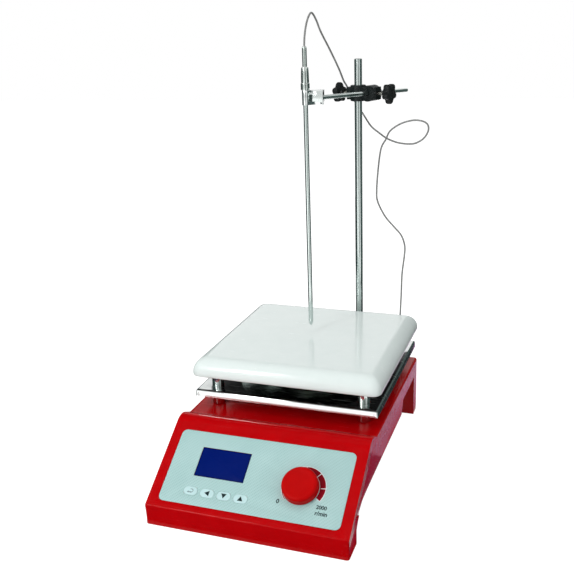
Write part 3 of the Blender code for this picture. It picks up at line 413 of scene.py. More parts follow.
def rounded(width, height, radius, steps=10):
    x, y = width / 2 - radius, height / 2 - radius
    points = []
    for quarter, centre in enumerate(((x, y), (-x, y), (-x, -y), (x, -y))):
        points += arc(centre, radius, 90 * quarter, 90 * (quarter + 1), steps)
    return points


def dome(radius, height, lowest, steps):
    # half an oval, from just off the axis at its lowest point out to its full radius
    return [(a * radius, lowest + b * height) for a, b in arc((0, 1), 1, -90, 0, steps)[1:]]


def stacked(size, rows, corner, steps, shrink=0.0):
    # square rings with rounded corners, each drawn in by its inset
    return loft([[(x, y, z) for x, y in rounded(size - 2 * inset, size - 2 * inset, corner - inset * shrink, steps)]
                 for inset, z in rows])


def drill(radius, lowest, highest, where=identity, sides=32):
    return turned([(radius, lowest), (radius, highest)], sides), where


def postHoles(radius, lowest, highest, sides, centre=Vector((0, 0, 0))):
    spots = [middle("post_" + corner) - centre for corner in corners]
    return [drill(radius, lowest, highest, place(spot.x, spot.y), sides) for spot in spots]


def fillet(start, corner, end, radius, steps):
    start, corner, end = Vector(start), Vector(corner), Vector(end)
    into, out = (start - corner).normalized(), (end - corner).normalized()
    half = into.angle(out) / 2
    centre = corner + (into + out).normalized() * radius / math.sin(half)
    first = corner + into * radius / math.tan(half) - centre
    bend = first.angle_signed(corner + out * radius / math.tan(half) - centre)
    points = []
    for k in range(steps + 1):
        angle = -bend * k / steps
        points.append((centre.x + first.x * math.cos(angle) - first.y * math.sin(angle),
                       centre.y + first.x * math.sin(angle) + first.y * math.cos(angle)))
    return points


def beside(path, distance):
    points = [Vector(point) for point in path]
    shifted = []
    for k, point in enumerate(points):
        before = (point - points[k - 1]).normalized() if k else None
        after = (points[k + 1] - point).normalized() if k + 1 < len(points) else None
        before = before or after
        after = after or before
        mitre = Vector((-before.y, before.x)) + Vector((-after.y, after.x))
        reach = distance / max(mitre.length / 2, 0.2)
        shifted.append(tuple(point + mitre.normalized() * reach))
    return shifted


def ribbon(path, thickness):
    return beside(path, thickness / 2) + beside(path, -thickness / 2)[::-1]


def bead(radius, lowest, highest, edge=0.0004, steps=4):
    # profile of a turned piece with rounded ends
    return [(0.0, lowest), *arc((radius - edge, lowest + edge), edge, -90, 0, steps),
            *arc((radius - edge, highest - edge), edge, 0, 90, steps), (0.0, highest)]


def moved(shape, matrix):
    bmesh.ops.transform(shape, matrix=matrix, verts=shape.verts)
    return shape


def newObject(name, shape, matrix=identity):
    moved(shape, matrix)
    bmesh.ops.recalc_face_normals(shape, faces=shape.faces)
    mesh = bpy.data.meshes.new(name)
    shape.to_mesh(mesh)
    shape.free()
    return addObject(name, mesh)


def solved(piece):
    # a plain mesh of what its modifiers or letters make
    bpy.context.view_layer.update()
    return bpy.data.meshes.new_from_object(piece.evaluated_get(bpy.context.evaluated_depsgraph_get()))


def combine(piece, other, operation):
    change = piece.modifiers.new(operation, "BOOLEAN")
    change.operation = operation
    change.solver = "EXACT"
    change.object = other


def settle(piece):
    mesh = solved(piece)
    piece.modifiers.clear()
    piece.data = mesh
    mesh.name = piece.name


def makePiece(name, shape, finish, body, replaces=(), matrix=identity, cuts=(), joins=(), bevel=0.0, steps=3,
              limit=32, smooth=38):
    # cuts and joins are pairs of a shape and its place on the piece
    piece = newObject(name, shape, matrix)
    helpers = []
    for operation, group in (("UNION", joins), ("DIFFERENCE", cuts)):
        for k, (other, where) in enumerate(group):
            helpers.append(newObject(name + operation + str(k), other, matrix @ where))
            combine(piece, helpers[-1], operation)
    if bevel:
        edge = piece.modifiers.new("edges", "BEVEL")
        edge.width = bevel
        edge.segments = steps
        edge.limit_method = "ANGLE"
        edge.angle_limit = math.radians(limit)
        edge.use_clamp_overlap = True
    settle(piece)
    for helper in helpers:
        bpy.data.objects.remove(helper)
    finishPiece(piece, finish, body, replaces, smooth)


def finishPiece(piece, finish, body, replaces=(), smooth=38):
    piece.data.materials.clear()
    piece.data.materials.append(materials[finish])
    piece.data.shade_smooth()
    piece.data.set_sharp_from_angle(angle=math.radians(smooth))
    if body:
        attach(piece, body)
    if replaces:
        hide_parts(*([replaces] if isinstance(replaces, str) else replaces))


def makeTurned(name, profile, finish, body, node, where, sides=64, smooth=30):
    makePiece(name, turned(profile, sides), finish, body, node, where, smooth=smooth)


def refined(name, node, finish, body, bevel=0.0003, steps=2):
    # a copy of a frame node with its loose triangles joined and its edges broken
    shape = bmesh.new()
    shape.from_mesh(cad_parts[node].data)
    bmesh.ops.remove_doubles(shape, verts=shape.verts, dist=1e-6)
    bmesh.ops.dissolve_limit(shape, angle_limit=math.radians(0.5), verts=shape.verts, edges=shape.edges)
    makePiece(name, shape, finish, body, node, bevel=bevel, steps=steps, limit=30)


# probe cord: one line through points round the probe's top, the clamp and the plug, split where bodies meet
cord = {"radius": 0.0009, "sides": 14, "spacing": 0.0022,
        "fromProbe": ((0, 0, 0.0003), (0.0005, 0.0002, 0.009), (0.0017, 0.0014, 0.018), (0.003, 0.005, 0.0255),
                      (0.004, 0.012, 0.0292), (0.005, 0.022, 0.023), (0.0063, 0.032, 0.0122),
                      (0.0098, 0.050, -0.005), (0.0125, 0.070, -0.023)),
        "fromClamp": ((-0.0132, -0.008, 0.013), (-0.0134, 0.0034, 0.0074), (-0.0108, 0.0132, -0.003),
                      (-0.006, 0.017, -0.014), (0.001, 0.0155, -0.0227), (0.0105, 0.012, -0.035),
                      (0.0206, 0.010, -0.0424), (0.0285, 0.0085, -0.0473), (0.0395, 0.0065, -0.051),
                      (0.0514, 0.0045, -0.0521), (0.0599, 0.003, -0.0508), (0.0682, 0.002, -0.0455),
                      (0.0728, 0.0008, -0.0373), (0.0713, 0, -0.0307), (0.0642, -0.0005, -0.0277),
                      (0.0551, -0.0005, -0.0278), (0.0437, 0, -0.0314), (0.0332, 0.001, -0.0386),
                      (0.0288, 0.002, -0.047), (0.0235, 0.002, -0.0574), (0.0205, 0.002, -0.0794),
                      (0.019, 0.002, -0.1018), (0.0203, 0.002, -0.1136), (0.0285, 0.001, -0.1286),
                      (0.0383, 0, -0.1392), (0.0465, -0.001, -0.1481), (0.0504, -0.0015, -0.1591),
                      (0.0501, -0.0015, -0.1704), (0.0479, -0.0015, -0.1902), (0.0473, -0.0017, -0.2119),
                      (0.0467, -0.0022, -0.2305)),
        "fromPlug": ((0.0004, 0.0006, 0.032), (0, 0, 0.012), (0, 0, 0.0003)),
        "splits": ((-0.0201, -0.0518, 0.0531), (-0.0125, -0.004, 0.0115), (0.0245, 0.009, -0.045)),
        "plugTop": (middle("probe_socket").x, rearY + 0.008, high("probe_plug").z)}


def smoothLine(points, spacing):
    fine = []
    for k in range(len(points) - 1):
        a, b, c, d = points[max(k - 1, 0)], points[k], points[k + 1], points[min(k + 2, len(points) - 1)]
        for n in range(24):
            t = n / 24
            fine.append(0.5 * (2 * b + (c - a) * t + (2 * a - 5 * b + 4 * c - d) * t * t
                               + (3 * b - a - 3 * c + d) * t ** 3))
    fine.append(points[-1])
    even = [fine[0]]
    left = spacing
    for a, b in zip(fine, fine[1:]):
        length = (b - a).length
        done = 0.0
        while length - done >= left:
            done += left
            even.append(a.lerp(b, done / length))
            left = spacing
        left -= length - done
    even[-1] = fine[-1]
    return even


def tube(name, points, radius, sides):
    # rings carried along the line without twist, with a map of turn and length
    shape = bmesh.new()
    mapping = shape.loops.layers.uv.new("cordMap")
    side = Vector((1, 0, 0))
    rings, lengths = [], [0.0]
    for k, point in enumerate(points):
        along = (points[min(k + 1, len(points) - 1)] - points[max(k - 1, 0)]).normalized()
        side = (side - along * side.dot(along)).normalized()
        other = along.cross(side)
        rings.append([shape.verts.new(point + (side * math.cos(math.tau * n / sides)
                                               + other * math.sin(math.tau * n / sides)) * radius)
                      for n in range(sides)])
        if k:
            lengths.append(lengths[-1] + (point - points[k - 1]).length)
    for k in range(len(rings) - 1):
        for n in range(sides):
            m = (n + 1) % sides
            face = shape.faces.new((rings[k][n], rings[k][m], rings[k + 1][m], rings[k + 1][n]))
            spots = ((n, k), (n + 1, k), (n + 1, k + 1), (n, k + 1))
            for loop, (u, v) in zip(face.loops, spots):
                loop[mapping].uv = (u / sides, lengths[v] / (math.tau * radius))
    shape.faces.new(rings[0])
    shape.faces.new(rings[-1])
    return newObject(name, shape)


def makeCords(sizes):
    plugTop = Vector(sizes["plugTop"])
    route = [probeTop + Vector(p) for p in sizes["fromProbe"]]
    route += [clampPoint + Vector(p) for p in sizes["fromClamp"]]
    route += [plugTop + Vector(p) for p in sizes["fromPlug"]]
    line = smoothLine(route, sizes["spacing"])
    marks = [0]
    for split in sizes["splits"]:
        target = clampPoint + Vector(split)
        marks.append(min(range(len(line)), key=lambda k: (line[k] - target).length))
    marks.append(len(line) - 1)
    parts = (("cordAtProbe", "probe_cord_top", "probe", "arm", "object"),
             ("cordAtArm", "probe_cord_arm", "arm", "clamp", "object"),
             ("cordAtClamp", "probe_cord_clamp", "clamp", "rod", "object"),
             ("cordToPlug", "probe_cord_base", "rod", "base", "plug"))
    for (name, node, first, second, farEnd), start, end in zip(parts, marks, marks[1:]):
        points = line[start:end + 1]
        piece = tube(name, points, sizes["radius"], sizes["sides"])
        finishPiece(piece, "cordGrey", None, node, 60)
        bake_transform(piece)
    print("cords made")


makeCords(cord)


# housing and what its slope holds; s runs up the slope, fall is in degrees
housing = {"half": 0.0915, "depth": rearY - frontY, "deck": 0.0619, "lift": 0.001, "crease": 0.0022,
           "ridge": 0.0790, "fall": 25.0, "ridgeRadius": 0.016, "kink": 0.004, "side": 0.0025, "wall": 0.0035,
           "foot": 0.024, "leg": 0.017, "arch": 0.0285, "gripDepth": 0.0145, "gripFront": 0.211,
           "gripTop": 0.045, "lean": 0.0018, "edge": 0.0005, "sealHole": 0.008, "socketHole": 0.0068}
panel = {"width": 0.164, "low": 0.0065, "high": 0.0764, "corner": 0.005, "foil": 0.0005, "clear": 0.0003}
window = {"x": -0.0336, "s": 0.0475, "width": 0.0468, "height": 0.0282, "ledge": 0.0015, "deep": 0.0019}
keys = {"first": -0.0546, "pitch": 0.0155, "s": 0.0191, "width": 0.0130, "height": 0.0077, "gap": 0.0003}
knob = {"x": 0.0413, "s": 0.0378, "radius": 0.016, "height": 0.009, "gap": 0.0006, "rim": 0.0028,
        "hole": 0.0042}
keyPlaces = [keys["first"] + keys["pitch"] * k for k in range(4)]
panelMiddle = (panel["low"] + panel["high"]) / 2
panelTall = panel["high"] - panel["low"]
postHole = 0.0028  # for the studs, in the deck and the plate


def slopeHoles(lowest, highest, where, up=0.0):
    # holes for the keys and the knob's spindle
    wide, tall = keys["width"] + keys["gap"], keys["height"] + keys["gap"]
    outline = rounded(wide, tall, tall / 2)
    holes = [(prism(outline, lowest, highest), where @ place(x, keys["s"] - up)) for x in keyPlaces]
    return holes + [drill(knob["hole"], lowest, highest, where @ place(knob["x"], knob["s"] - up))]


def makeHousing(h):
    half, depth, wall, deck, lift = (h[key] for key in ("half", "depth", "wall", "deck", "lift"))
    legFront, gripX = depth - h["leg"], half - h["gripDepth"]
    lip = (lipBack, lipTop)
    peak = (h["ridge"], lipTop + (h["ridge"] - lipBack) * math.tan(math.radians(slopeAngle)))
    deckFront = (h["ridge"] + (peak[1] - deck) / math.tan(math.radians(h["fall"])), deck)
    foot, rear = (0.0, lift), [(depth, deck), (depth, lift)]
    outer = [foot, *fillet(foot, lip, peak, h["crease"], 8), *fillet(lip, peak, deckFront, h["ridgeRadius"], 28),
             *fillet(peak, deckFront, rear[0], h["kink"], 5), *rear]
    arch = [(h["foot"] + y, z) for y, z in ((0.0225, h["arch"]), (0.0125, 0.0252), (0.004, 0.0188), (0.0, 0.014),
                                            (0.0, lift))]
    shell = prism(outer + [(legFront, lift), (legFront, h["arch"])] + arch, -half, half, "X")
    same = 1e-6
    rim = []
    for edge in shell.edges:
        a, b = [vert.co for vert in edge.verts]
        onTop = all(any((Vector((v.y, v.z)) - Vector(p)).length < same for p in outer) for v in (a, b))
        onRear = abs(a.y - depth) < same and abs(b.y - depth) < same
        if onRear:
            chosen = abs(a.z - b.z) > 0.01 or min(a.z, b.z) > deck - same
        else:
            chosen = onTop and abs(a.x - b.x) < same and max(a.z, b.z) > lift + same
        if chosen:
            rim.append(edge)
    bmesh.ops.bevel(shell, geom=rim, offset=h["side"], segments=6, profile=0.5, affect="EDGES")

    # the hollow leaves walls round the hand recesses; a wedge leans each side's lower edge inward
    inner = beside([foot, lip, *fillet(lip, peak, deckFront, h["ridgeRadius"], 8), deckFront, *rear], -wall)
    cavity = [(inner[0][0], -0.02), *inner, (inner[-1][0], -0.02)]
    hollow = newObject("hollow", prism(cavity, -half + wall, half - wall, "X"))
    slant = ((h["foot"], 0.0295, 0.25), (0.038, 0.0337, 0.55), (0.064, 0.0376, 1.0), (0.109, 0.0423, 1.0),
             (0.1465, 0.0435, 1.0), (h["gripFront"] + 0.002, h["gripTop"], 1.0))
    front, lowest, out = place(0, frontY, 0), h["arch"] - 0.006, half + 0.002
    cuts, helpers = [], [hollow]
    for side in (-1, 1):
        outside, inside = (sorted((side * x, side * (half + 0.01))) for x in (gripX, gripX - wall))
        cuts.append((block(outside, (h["gripFront"], legFront), (-0.01, h["gripTop"])), front))
        helpers.append(newObject("keep", block(inside, (h["gripFront"] - wall, legFront + wall),
                                               (-0.03, h["gripTop"] + wall))))
        combine(hollow, helpers[-1], "DIFFERENCE")
        wedge = [[(side * out, y, z + 0.0002), (side * (half + 0.0001), y, z + 0.0002),
                  (side * (half - h["lean"] * share), y, lowest), (side * out, y, lowest)]
                 for y, z, share in slant]
        cuts.append((loft(wedge), front))
    settle(hollow)
    core = bmesh.new()
    core.from_mesh(hollow.data)
    cuts.insert(0, (core, front))
    for helper in helpers:
        bpy.data.objects.remove(helper)

    # recess for the foil, opening for the display with a ledge, keys and spindle
    above, through, clear, ledge = 0.004, -wall - 0.002, panel["clear"], window["ledge"]
    recess = rounded(panel["width"] + 2 * clear, panelTall + 2 * clear, panel["corner"] + clear)
    cuts.append((prism(recess, -panel["foil"] - clear, above), slope @ place(0, panelMiddle)))
    w, t = window["width"] / 2, window["height"] / 2
    onWindow = slope @ place(window["x"], window["s"])
    cuts.append((block((-w, w), (-t, t), (-window["deep"], above)), onWindow))
    cuts.append((block((ledge - w, w - ledge), (ledge - t, t - ledge), (through, 0.001)), onWindow))
    cuts += slopeHoles(through, above, slope)

    # deck and rear wall
    cuts += postHoles(postHole, deck - 0.007, deck + above, 24)
    cuts.append(drill(h["sealHole"], deck - 0.007, deck + above, place(plate.x, plate.y)))
    for node, x, z in (("power_inlet", 0.0213, 0.0113), ("power_switch", 0.0078, 0.0113)):
        centre = middle(node)
        cuts.append((block((-x, x), (-wall - 0.003, above), (-z, z)), place(centre.x, rearY, centre.z)))
    socket = middle("probe_socket")
    cuts.append(drill(h["socketHole"], -wall - 0.003, above, place(socket.x, rearY, socket.z) @ rearFacing))
    moved(shell, front)
    makePiece("paintedHousing", shell, "redPaint", "base", "housing", identity, cuts, (), h["edge"], 2, 34, 34)
    print("housing made")


makeHousing(housing)


def flat(name, outline, finish, body, where, thick=0.00004, cuts=()):
    # a printed area, just proud of its face
    makePiece(name, prism(outline, -0.00002, thick), finish, body, (), where, cuts)


def makeFoil():
    w, t = window["width"] / 2, window["height"] / 2
    cuts = [(block((-w, w), (-t, t), (-0.002, 0.002)), place(window["x"], window["s"] - panelMiddle))]
    cuts += slopeHoles(-0.002, 0.002, identity, panelMiddle)
    makePiece("printedFoil", prism(rounded(panel["width"], panelTall, panel["corner"]), -panel["foil"], 0.0),
              "panelFoil", "base", "control_panel", slope @ place(0, panelMiddle), cuts, (), 0.00012, 2)


def makeDisplay(s):
    w, t = (window[key] - 2 * s["gap"] for key in ("width", "height"))
    where = slope @ place(window["x"], window["s"])
    makePiece("displayPane", prism(rounded(w, t, 0.0005, 4), -s["thick"], 0.0), "displayPane", "base",
              "lcd_window", where, bevel=0.00015, steps=2)
    inside = prism(rounded(w - 2 * s["frame"], t - 2 * s["frame"], 0.0006, 4), -0.001, 0.001)
    flat("displayFrame", rounded(w - 2 * s["inset"], t - 2 * s["inset"], 0.0005, 4), "displayInk", "base", where,
         s["ink"], [(inside, identity)])


def makeKeys(s):
    arrow = ((-0.0025, -0.0020), (0.0025, -0.0020), (0.0, 0.0023))
    hook = [(-0.0016, -0.0013), (0.0010, -0.0013), *arc((0.0010, 0.0001), 0.0014, -90, 90, 8), (-0.0003, 0.0015)]
    hookHead = ((-0.0030, -0.0013), (-0.0013, -0.0002), (-0.0013, -0.0024))
    flange = -housing["wall"] - 0.0003
    # the cap's outline by share of its full size and level, from the plunger's end to the crown
    levels = ((0.45, -0.0054), (0.45, flange - 0.001), (1.14, flange - 0.001), (1.14, flange), (1.0, flange),
              (1.0, -0.0001), (0.985, 0.00012), (0.95, 0.00024), (0.90, 0.00030), (0.84, 0.00030), (0.80, 0.00026),
              (0.70, 0.00033), (0.45, 0.00043), (0.2, 0.00048))
    outline = rounded(keys["width"], keys["height"], keys["height"] / 2)
    for node, angle, x in zip(("key_enter", "key_left", "key_down", "key_up"), (None, 90, 180, 0), keyPlaces):
        where = slope @ place(x, keys["s"])
        cap = loft([[(a * share, b * share, level) for a, b in outline] for share, level in levels])
        makePiece(node.replace("key_", "cap_"), cap, "keyPlastic", node, node, where, smooth=60)
        top = where @ place(0, 0, s["ink"])
        if angle is None:
            flat("mark_enter", ribbon(hook, s["line"]), "printGrey", node, top)
            flat("mark_enter_head", hookHead, "printGrey", node, top)
        else:
            pointed = [tuple((turn(angle, "Z") @ Vector((a, b, 0))).xy) for a, b in arrow]
            flat(node.replace("key_", "mark_"), pointed, "printDark", node, top)
    print("keys made")


def makeKnob(k):
    r, h, gap, rim = (k[key] for key in ("radius", "height", "gap", "rim"))
    # skirt, rounded rim and dished top, then the bore and the hollow underneath
    profile = [(r - 0.0004, gap), (r, gap + 0.0004), (r - 0.0002, h - rim - 0.0006),
               *arc((r - 0.0002 - rim, h - rim), rim, 0, 90, 8), (r - 0.0038, h - 0.00005),
               (r - 0.0050, h - 0.00028), (r - 0.0075, h - 0.00045), (0.0040, h - 0.0005), (0.0, h - 0.0005),
               (0.0, h - 0.0030), (0.0033, h - 0.0030), (0.0033, 0.0012), (0.0052, 0.0012), (0.0052, 0.0060),
               (r - 0.0022, 0.0060), (r - 0.0022, gap)]
    makePiece("speedKnob", turned(profile, 96, True), "knobRed", "knob", "knob", slope @ place(k["x"], k["s"]),
              smooth=32)


def makeScale(s):
    # ink between an outer circle and the knob's edge, with a white outer edge, a white end and white marks; the
    # thin white line along the knob's edge is a painted highlight of the knob's rim
    centre = Vector((s["x"], s["s"]))
    offset = centre - Vector((knob["x"], knob["s"]))
    outer, inner, edge = [], [], []
    for k in range(s["steps"] + 1):
        angle = math.radians(s["from"] + (s["to"] - s["from"]) * k / s["steps"])
        along = Vector((math.cos(angle), math.sin(angle)))
        b = offset.dot(along)
        # distance from the scale's centre to the circle round the knob
        inside = -b + math.sqrt(b * b - offset.length_squared + s["inner"] ** 2)
        outside = max(s["outer"], inside + 0.0002)
        for line, reach in ((outer, outside), (inner, inside), (edge, outside + s["line"] / 2)):
            line.append(tuple(centre + along * reach))
    flat("speedScale", outer + inner[::-1], "scaleRed", "base", slope, s["ink"])
    # the second of these lines, along the knob's edge, is a painted highlight of the knob's rim
    for name, path, line in (("scaleEdge", edge, s["line"]), ("paintedKnobRimHighlight", inner, s["line"] * 0.7),
                             ("scaleEnd", [inner[0], outer[0]], s["line"])):
        flat(name, ribbon(path, line), "printWhite", "base", slope, s["ink"] * 1.3)
    makeRibs("scaleMarks", "printWhite", "base", slope @ place(s["x"], s["s"], s["ink"]), Count=5,
             Radius=s["outer"] - s["mark"] / 2, Rib_Width=s["line"] * 1.5, Rib_Depth=s["mark"],
             Rib_Length=0.00008, Start=math.radians(5.0), Sweep=math.radians(5 * 45.0))


def makeText(name, words, size, x, s):
    letters = bpy.data.curves.new(name, "FONT")
    letters.body = words
    letters.size = size
    letters.align_x = letters.align_y = "CENTER"
    letters.extrude = 0.00003
    letters.offset = size * 0.03
    letters.resolution_u = 4
    drawn = addObject(name, letters)
    mesh = solved(drawn)
    bpy.data.objects.remove(drawn)
    mesh.transform(slope @ place(x, s, 0.00002))
    finishPiece(addObject(name, mesh), "printDark", "base")


def ribTree():
    # upright ribs on a circle, evenly turned, each a slim block with its length along Z
    tree, given, result, names = newTree("ribRing", "Geometry", "Geometry", {
        "Count": ("Int", 24), "Radius": ("Float", 0.006), "Rib Width": ("Float", 0.0006),
        "Rib Depth": ("Float", 0.0006), "Rib Length": ("Float", 0.004), "Start": ("Float", 0.0),
        "Sweep": ("Float", math.tau), "Finish": ("Material", None)})

    def step(kind, **inputs):
        return addNode(tree, kind, {key.replace("_", " "): source for key, source in inputs.items()}).outputs[0]

    size = step("CombineXYZ", X=given["Rib Depth"], Y=given["Rib Width"], Z=given["Rib Length"])
    share = maths(tree, "DIVIDE", step("GeometryNodeInputIndex"), given["Count"])
    angle = maths(tree, "MULTIPLY_ADD", share, given["Sweep"], given["Start"])
    unit = step("CombineXYZ", X=maths(tree, "COSINE", angle), Y=maths(tree, "SINE", angle))
    spot = addNode(tree, "VectorMath", {0: unit, "Scale": given["Radius"]}, operation="SCALE").outputs[0]
    points = step("GeometryNodePoints", Count=given["Count"])
    ring = step("GeometryNodeSetPosition", Geometry=points, Position=spot)
    ribs = step("GeometryNodeInstanceOnPoints", Points=ring, Instance=step("GeometryNodeMeshCube", Size=size),
                Rotation=step("CombineXYZ", Z=angle))
    real = step("GeometryNodeRealizeInstances", Geometry=ribs)
    tree.links.new(step("GeometryNodeSetMaterial", Geometry=real, Material=given["Finish"]), result)
    return tree, names


ribNodes, ribInputs = ribTree()


def makeRibs(name, finish, body, where, **values):
    piece = addObject(name, bpy.data.meshes.new(name))
    ribs = piece.modifiers.new("ribs", "NODES")
    ribs.node_group = ribNodes
    for label, value in values.items():
        ribs[ribInputs[label.replace("_", " ")]] = value
    ribs[ribInputs["Finish"]] = materials[finish]
    settle(piece)
    piece.data.transform(where)
    finishPiece(piece, finish, body, (), 30)


makeFoil()
makeDisplay({"gap": 0.0003, "thick": 0.0016, "frame": 0.0007, "inset": 0.0002, "ink": 0.00004})
makeKeys({"ink": 0.00046, "line": 0.00065})
makeKnob(knob)
makeScale({"x": 0.0435, "s": 0.0384, "outer": 0.019, "inner": 0.0161, "from": -31.5, "to": 222.0, "steps": 90,
           "ink": 0.00004, "line": 0.0004, "mark": 0.0042})
makeText("scaleZero", "0", 0.0054, 0.0245, 0.0226)
makeText("scaleTop", "2000", 0.0046, 0.0628, 0.0231)
makeText("scaleUnit", "r/min", 0.0050, 0.0636, 0.0178)
print("control slope made")


def makePlate(s):
    size, top = high("hot_plate").x * 2, high("hot_plate").z
    bottom = top - s["thick"]
    rows = [(0.0018, bottom), (0.0009, bottom + 0.0002), (0.0003, bottom + 0.0008), (0.0, bottom + 0.0020),
            *arc((s["round"], top - s["round"]), s["round"], 180, 90, s["steps"])]
    cuts = [drill(s["pocket"], bottom - 0.004, bottom + 0.0087, sides=128)]
    cuts += postHoles(postHole, bottom - 0.004, bottom + 0.0075, 24, plate)
    under = stacked(size, [(s["bare"], bottom - 0.00012), (s["bare"], bottom + 0.0003)], s["corner"], 12, 0.35)
    where = upright("hot_plate")
    makePiece("plateUnderside", under, "blackSteel", "base", (), where, [(other.copy(), at) for other, at in cuts],
              smooth=24)
    makePiece("enamelPlate", stacked(size, rows, s["corner"], 12, 0.35), "whiteEnamel", "base", "hot_plate", where,
              cuts, smooth=24)


def makeTray(s):
    size, top = 2 * high("drip_tray").x, high("drip_tray").z
    lowest, sheet, half = top - s["lip"], s["sheet"], high("drip_tray").x
    bend = (s["lean"] + s["fold"], top - s["fold"])
    outer = [(0.0, lowest), *arc(bend, s["fold"], 180, 90, 6)]
    inner = [(sheet, lowest - 0.004), (sheet, lowest), *arc(bend, s["fold"] - sheet, 180, 90, 6)]
    cuts = [(stacked(size, inner, s["insideCorner"], 6), identity),
            drill(s["middleHole"], top - 0.004, top + 0.004, sides=48)]
    cuts += postHoles(s["hole"], top - 0.004, top + 0.004, 48, plate)
    # open joints where the lips meet at the corners
    for x in (-1, 1):
        for y in (-1, 1):
            slit = sorted((x * (half - s["joint"]), x * (half - s["joint"] - s["slit"])))
            lip = sorted((y * (half - 0.0016), y * (half + 0.002)))
            cuts.append((block(slit, lip, (lowest - 0.001, top - s["fold"] * 1.2)), identity))
    makePiece("steelTray", stacked(size, outer, s["corner"], 6), "trayStainless", "base", "drip_tray",
              upright("hot_plate"), cuts, smooth=28)


def makePosts(s):
    deck, shoulder, bottom = housing["deck"], high("drip_tray").z - 0.0013, high("hot_plate").z - hotPlate["thick"]
    r, neck, stud = s["radius"], s["neck"], s["stud"]
    profile = [(0.0, deck - 0.0075), (stud, deck - 0.0075), (stud, deck + 0.0003), (r - 0.0005, deck + 0.0003),
               (r - 0.00015, deck + 0.0005), (r, deck + 0.0009), (r, shoulder - 0.0006),
               (r - 0.00015, shoulder - 0.0002), (r - 0.0005, shoulder), (neck, shoulder), (neck, bottom - 0.0004),
               (neck - 0.0001, bottom - 0.0003), (stud, bottom - 0.0003), (stud, bottom + 0.0070),
               (0.0, bottom + 0.0070)]
    for corner in corners:
        post = "post_" + corner
        makeTurned("standoff_" + corner, profile, "groundStainless", "base", post, upright(post))


hotPlate = {"thick": 0.0172, "round": 0.014, "corner": 0.008, "steps": 18, "pocket": 0.0733, "bare": 0.0016}
makePlate(hotPlate)
makeTray({"lip": 0.0065, "sheet": 0.001, "fold": 0.0018, "corner": 0.0010, "insideCorner": 0.0009, "joint": 0.0033,
          "slit": 0.0004, "lean": 0.0005, "hole": 0.0061, "middleHole": 0.007})
makePosts({"radius": 0.0062, "neck": 0.0058, "stud": 0.0025})
print("plate, tray and posts made")


# bores of holder, clamp and screws, a little wider than what passes through them
bores = {"rod": 0.0043, "arm": 0.0024, "screw": 0.0023}


def makeRod():
    profile = bead(0.004, *span("support_rod"), 0.0007, 5)
    makeTurned("uprightRod", profile, "groundStainless", "rod", "support_rod", upright("support_rod"), 96)


def makeHolder(s):
    bottom, top, centre = low("rod_holder"), high("rod_holder"), middle("rod_holder")
    size, local = top - bottom, rod.y - centre.y
    cuts = [drill(bores["rod"], bottom.z + 0.004, top.z + 0.01, place(0, local), 48),
            drill(bores["screw"], 0.0, 0.03, place(0, local, middle("holder_screw").z) @ rearFacing, 24)]
    fixings = [(x * s["pitch"], centre.z + z * s["rise"]) for x in (-1, 1) for z in (-1, 1)]
    for x, z in fixings:
        cuts.append(drill(s["head"] + 0.0003, -s["sunk"], 0.01, place(x, size.y / 2, z) @ rearFacing, 24))
    makePiece("rodHolderBlock", prism(rounded(size.x, size.y, 0.003, 8), bottom.z, top.z), "blackCast", "base",
              "rod_holder", place(centre.x, centre.y), cuts, (), 0.0006, 3)
    for k, (x, z) in enumerate(fixings):
        socket = prism(circle(0.00125, 6), s["sunk"] - 0.0018, 0.004)
        makePiece("holderFixing" + str(k + 1), turned(bead(s["head"], 0.0, s["sunk"] - 0.0004, 0.0003, 3), 32),
                  "zincPlate", "base", (), place(centre.x + x, top.y - s["sunk"] + 0.0002, z) @ rearFacing,
                  [(socket, identity)])


def makeShank(name, body, where, lowest, highest):
    profile = [(0, lowest), (0.0014, lowest), (0.002, lowest + 0.0006), (0.002, highest), (0, highest)]
    makeTurned(name, profile, "zincPlate", body, (), where, 32)


def makeHolderScrew(s):
    node = "holder_screw"
    where = place(rod.x, rod.y, middle(node).z) @ rearFacing
    lowest, highest = low(node).y - rod.y, high(node).y - rod.y
    head = highest - s["head"]
    makeShank("holderScrewShank", node, where, lowest, head + 0.001)
    makeTurned("holderScrewHead", bead(s["radius"] - 0.0002, head, highest, 0.0007), "blackPlastic", node, node,
               where)
    makeRibs("holderScrewRibs", "blackPlastic", node, where @ place(0, 0, (head + highest) / 2), Count=36,
             Radius=s["radius"] - 0.00025, Rib_Width=0.0005, Rib_Depth=0.0005, Rib_Length=s["head"] - 0.0018)


def makeClamp(s):
    # a bar with a barrel round the rod, another round the arm, and a boss for each screw
    left, right, half, bar = s["left"], s["right"], s["half"], s["bar"]
    shape = prism(rounded(right - left, 2 * bar, 0.0025, 6), -bar + 0.0006, bar - 0.0006)
    barrel = [(half - 0.0006, -half), (half, -half + 0.0006), (half, half - 0.0006), (half - 0.0006, half)]
    boss = turned([(0.0066, 0.0), (0.0066, right), (0.0060, right)], 40)
    cuts = [drill(bores["rod"], -0.02, 0.02, sides=48),
            drill(bores["arm"], -0.02, 0.02, place(armOffset) @ turn(armDip, "X")),
            drill(bores["screw"], 0.0, 0.03, place(-0.03) @ sideways, 24),
            drill(bores["screw"], 0.0, 0.03, place(armOffset) @ sideways, 24)]
    joins = [(turned(barrel, 48), identity), (turned(barrel, 48), place(armOffset) @ rearFacing), (boss, sideways)]
    makePiece("clampBlock", moved(shape, place((left + right) / 2)), "blackCast", "clamp", "boss_head", clamp, cuts,
              joins, 0.0004, 3, 30, 30)


def starRing(radius, wave, height, sides=90, lobes=5):
    points = []
    for k in range(sides):
        angle = math.tau * k / sides
        reach = radius + wave * math.cos(lobes * angle) - wave * 0.25 * abs(math.sin(lobes * angle / 2)) ** 3
        points.append((reach * math.cos(angle), reach * math.sin(angle), height))
    return points


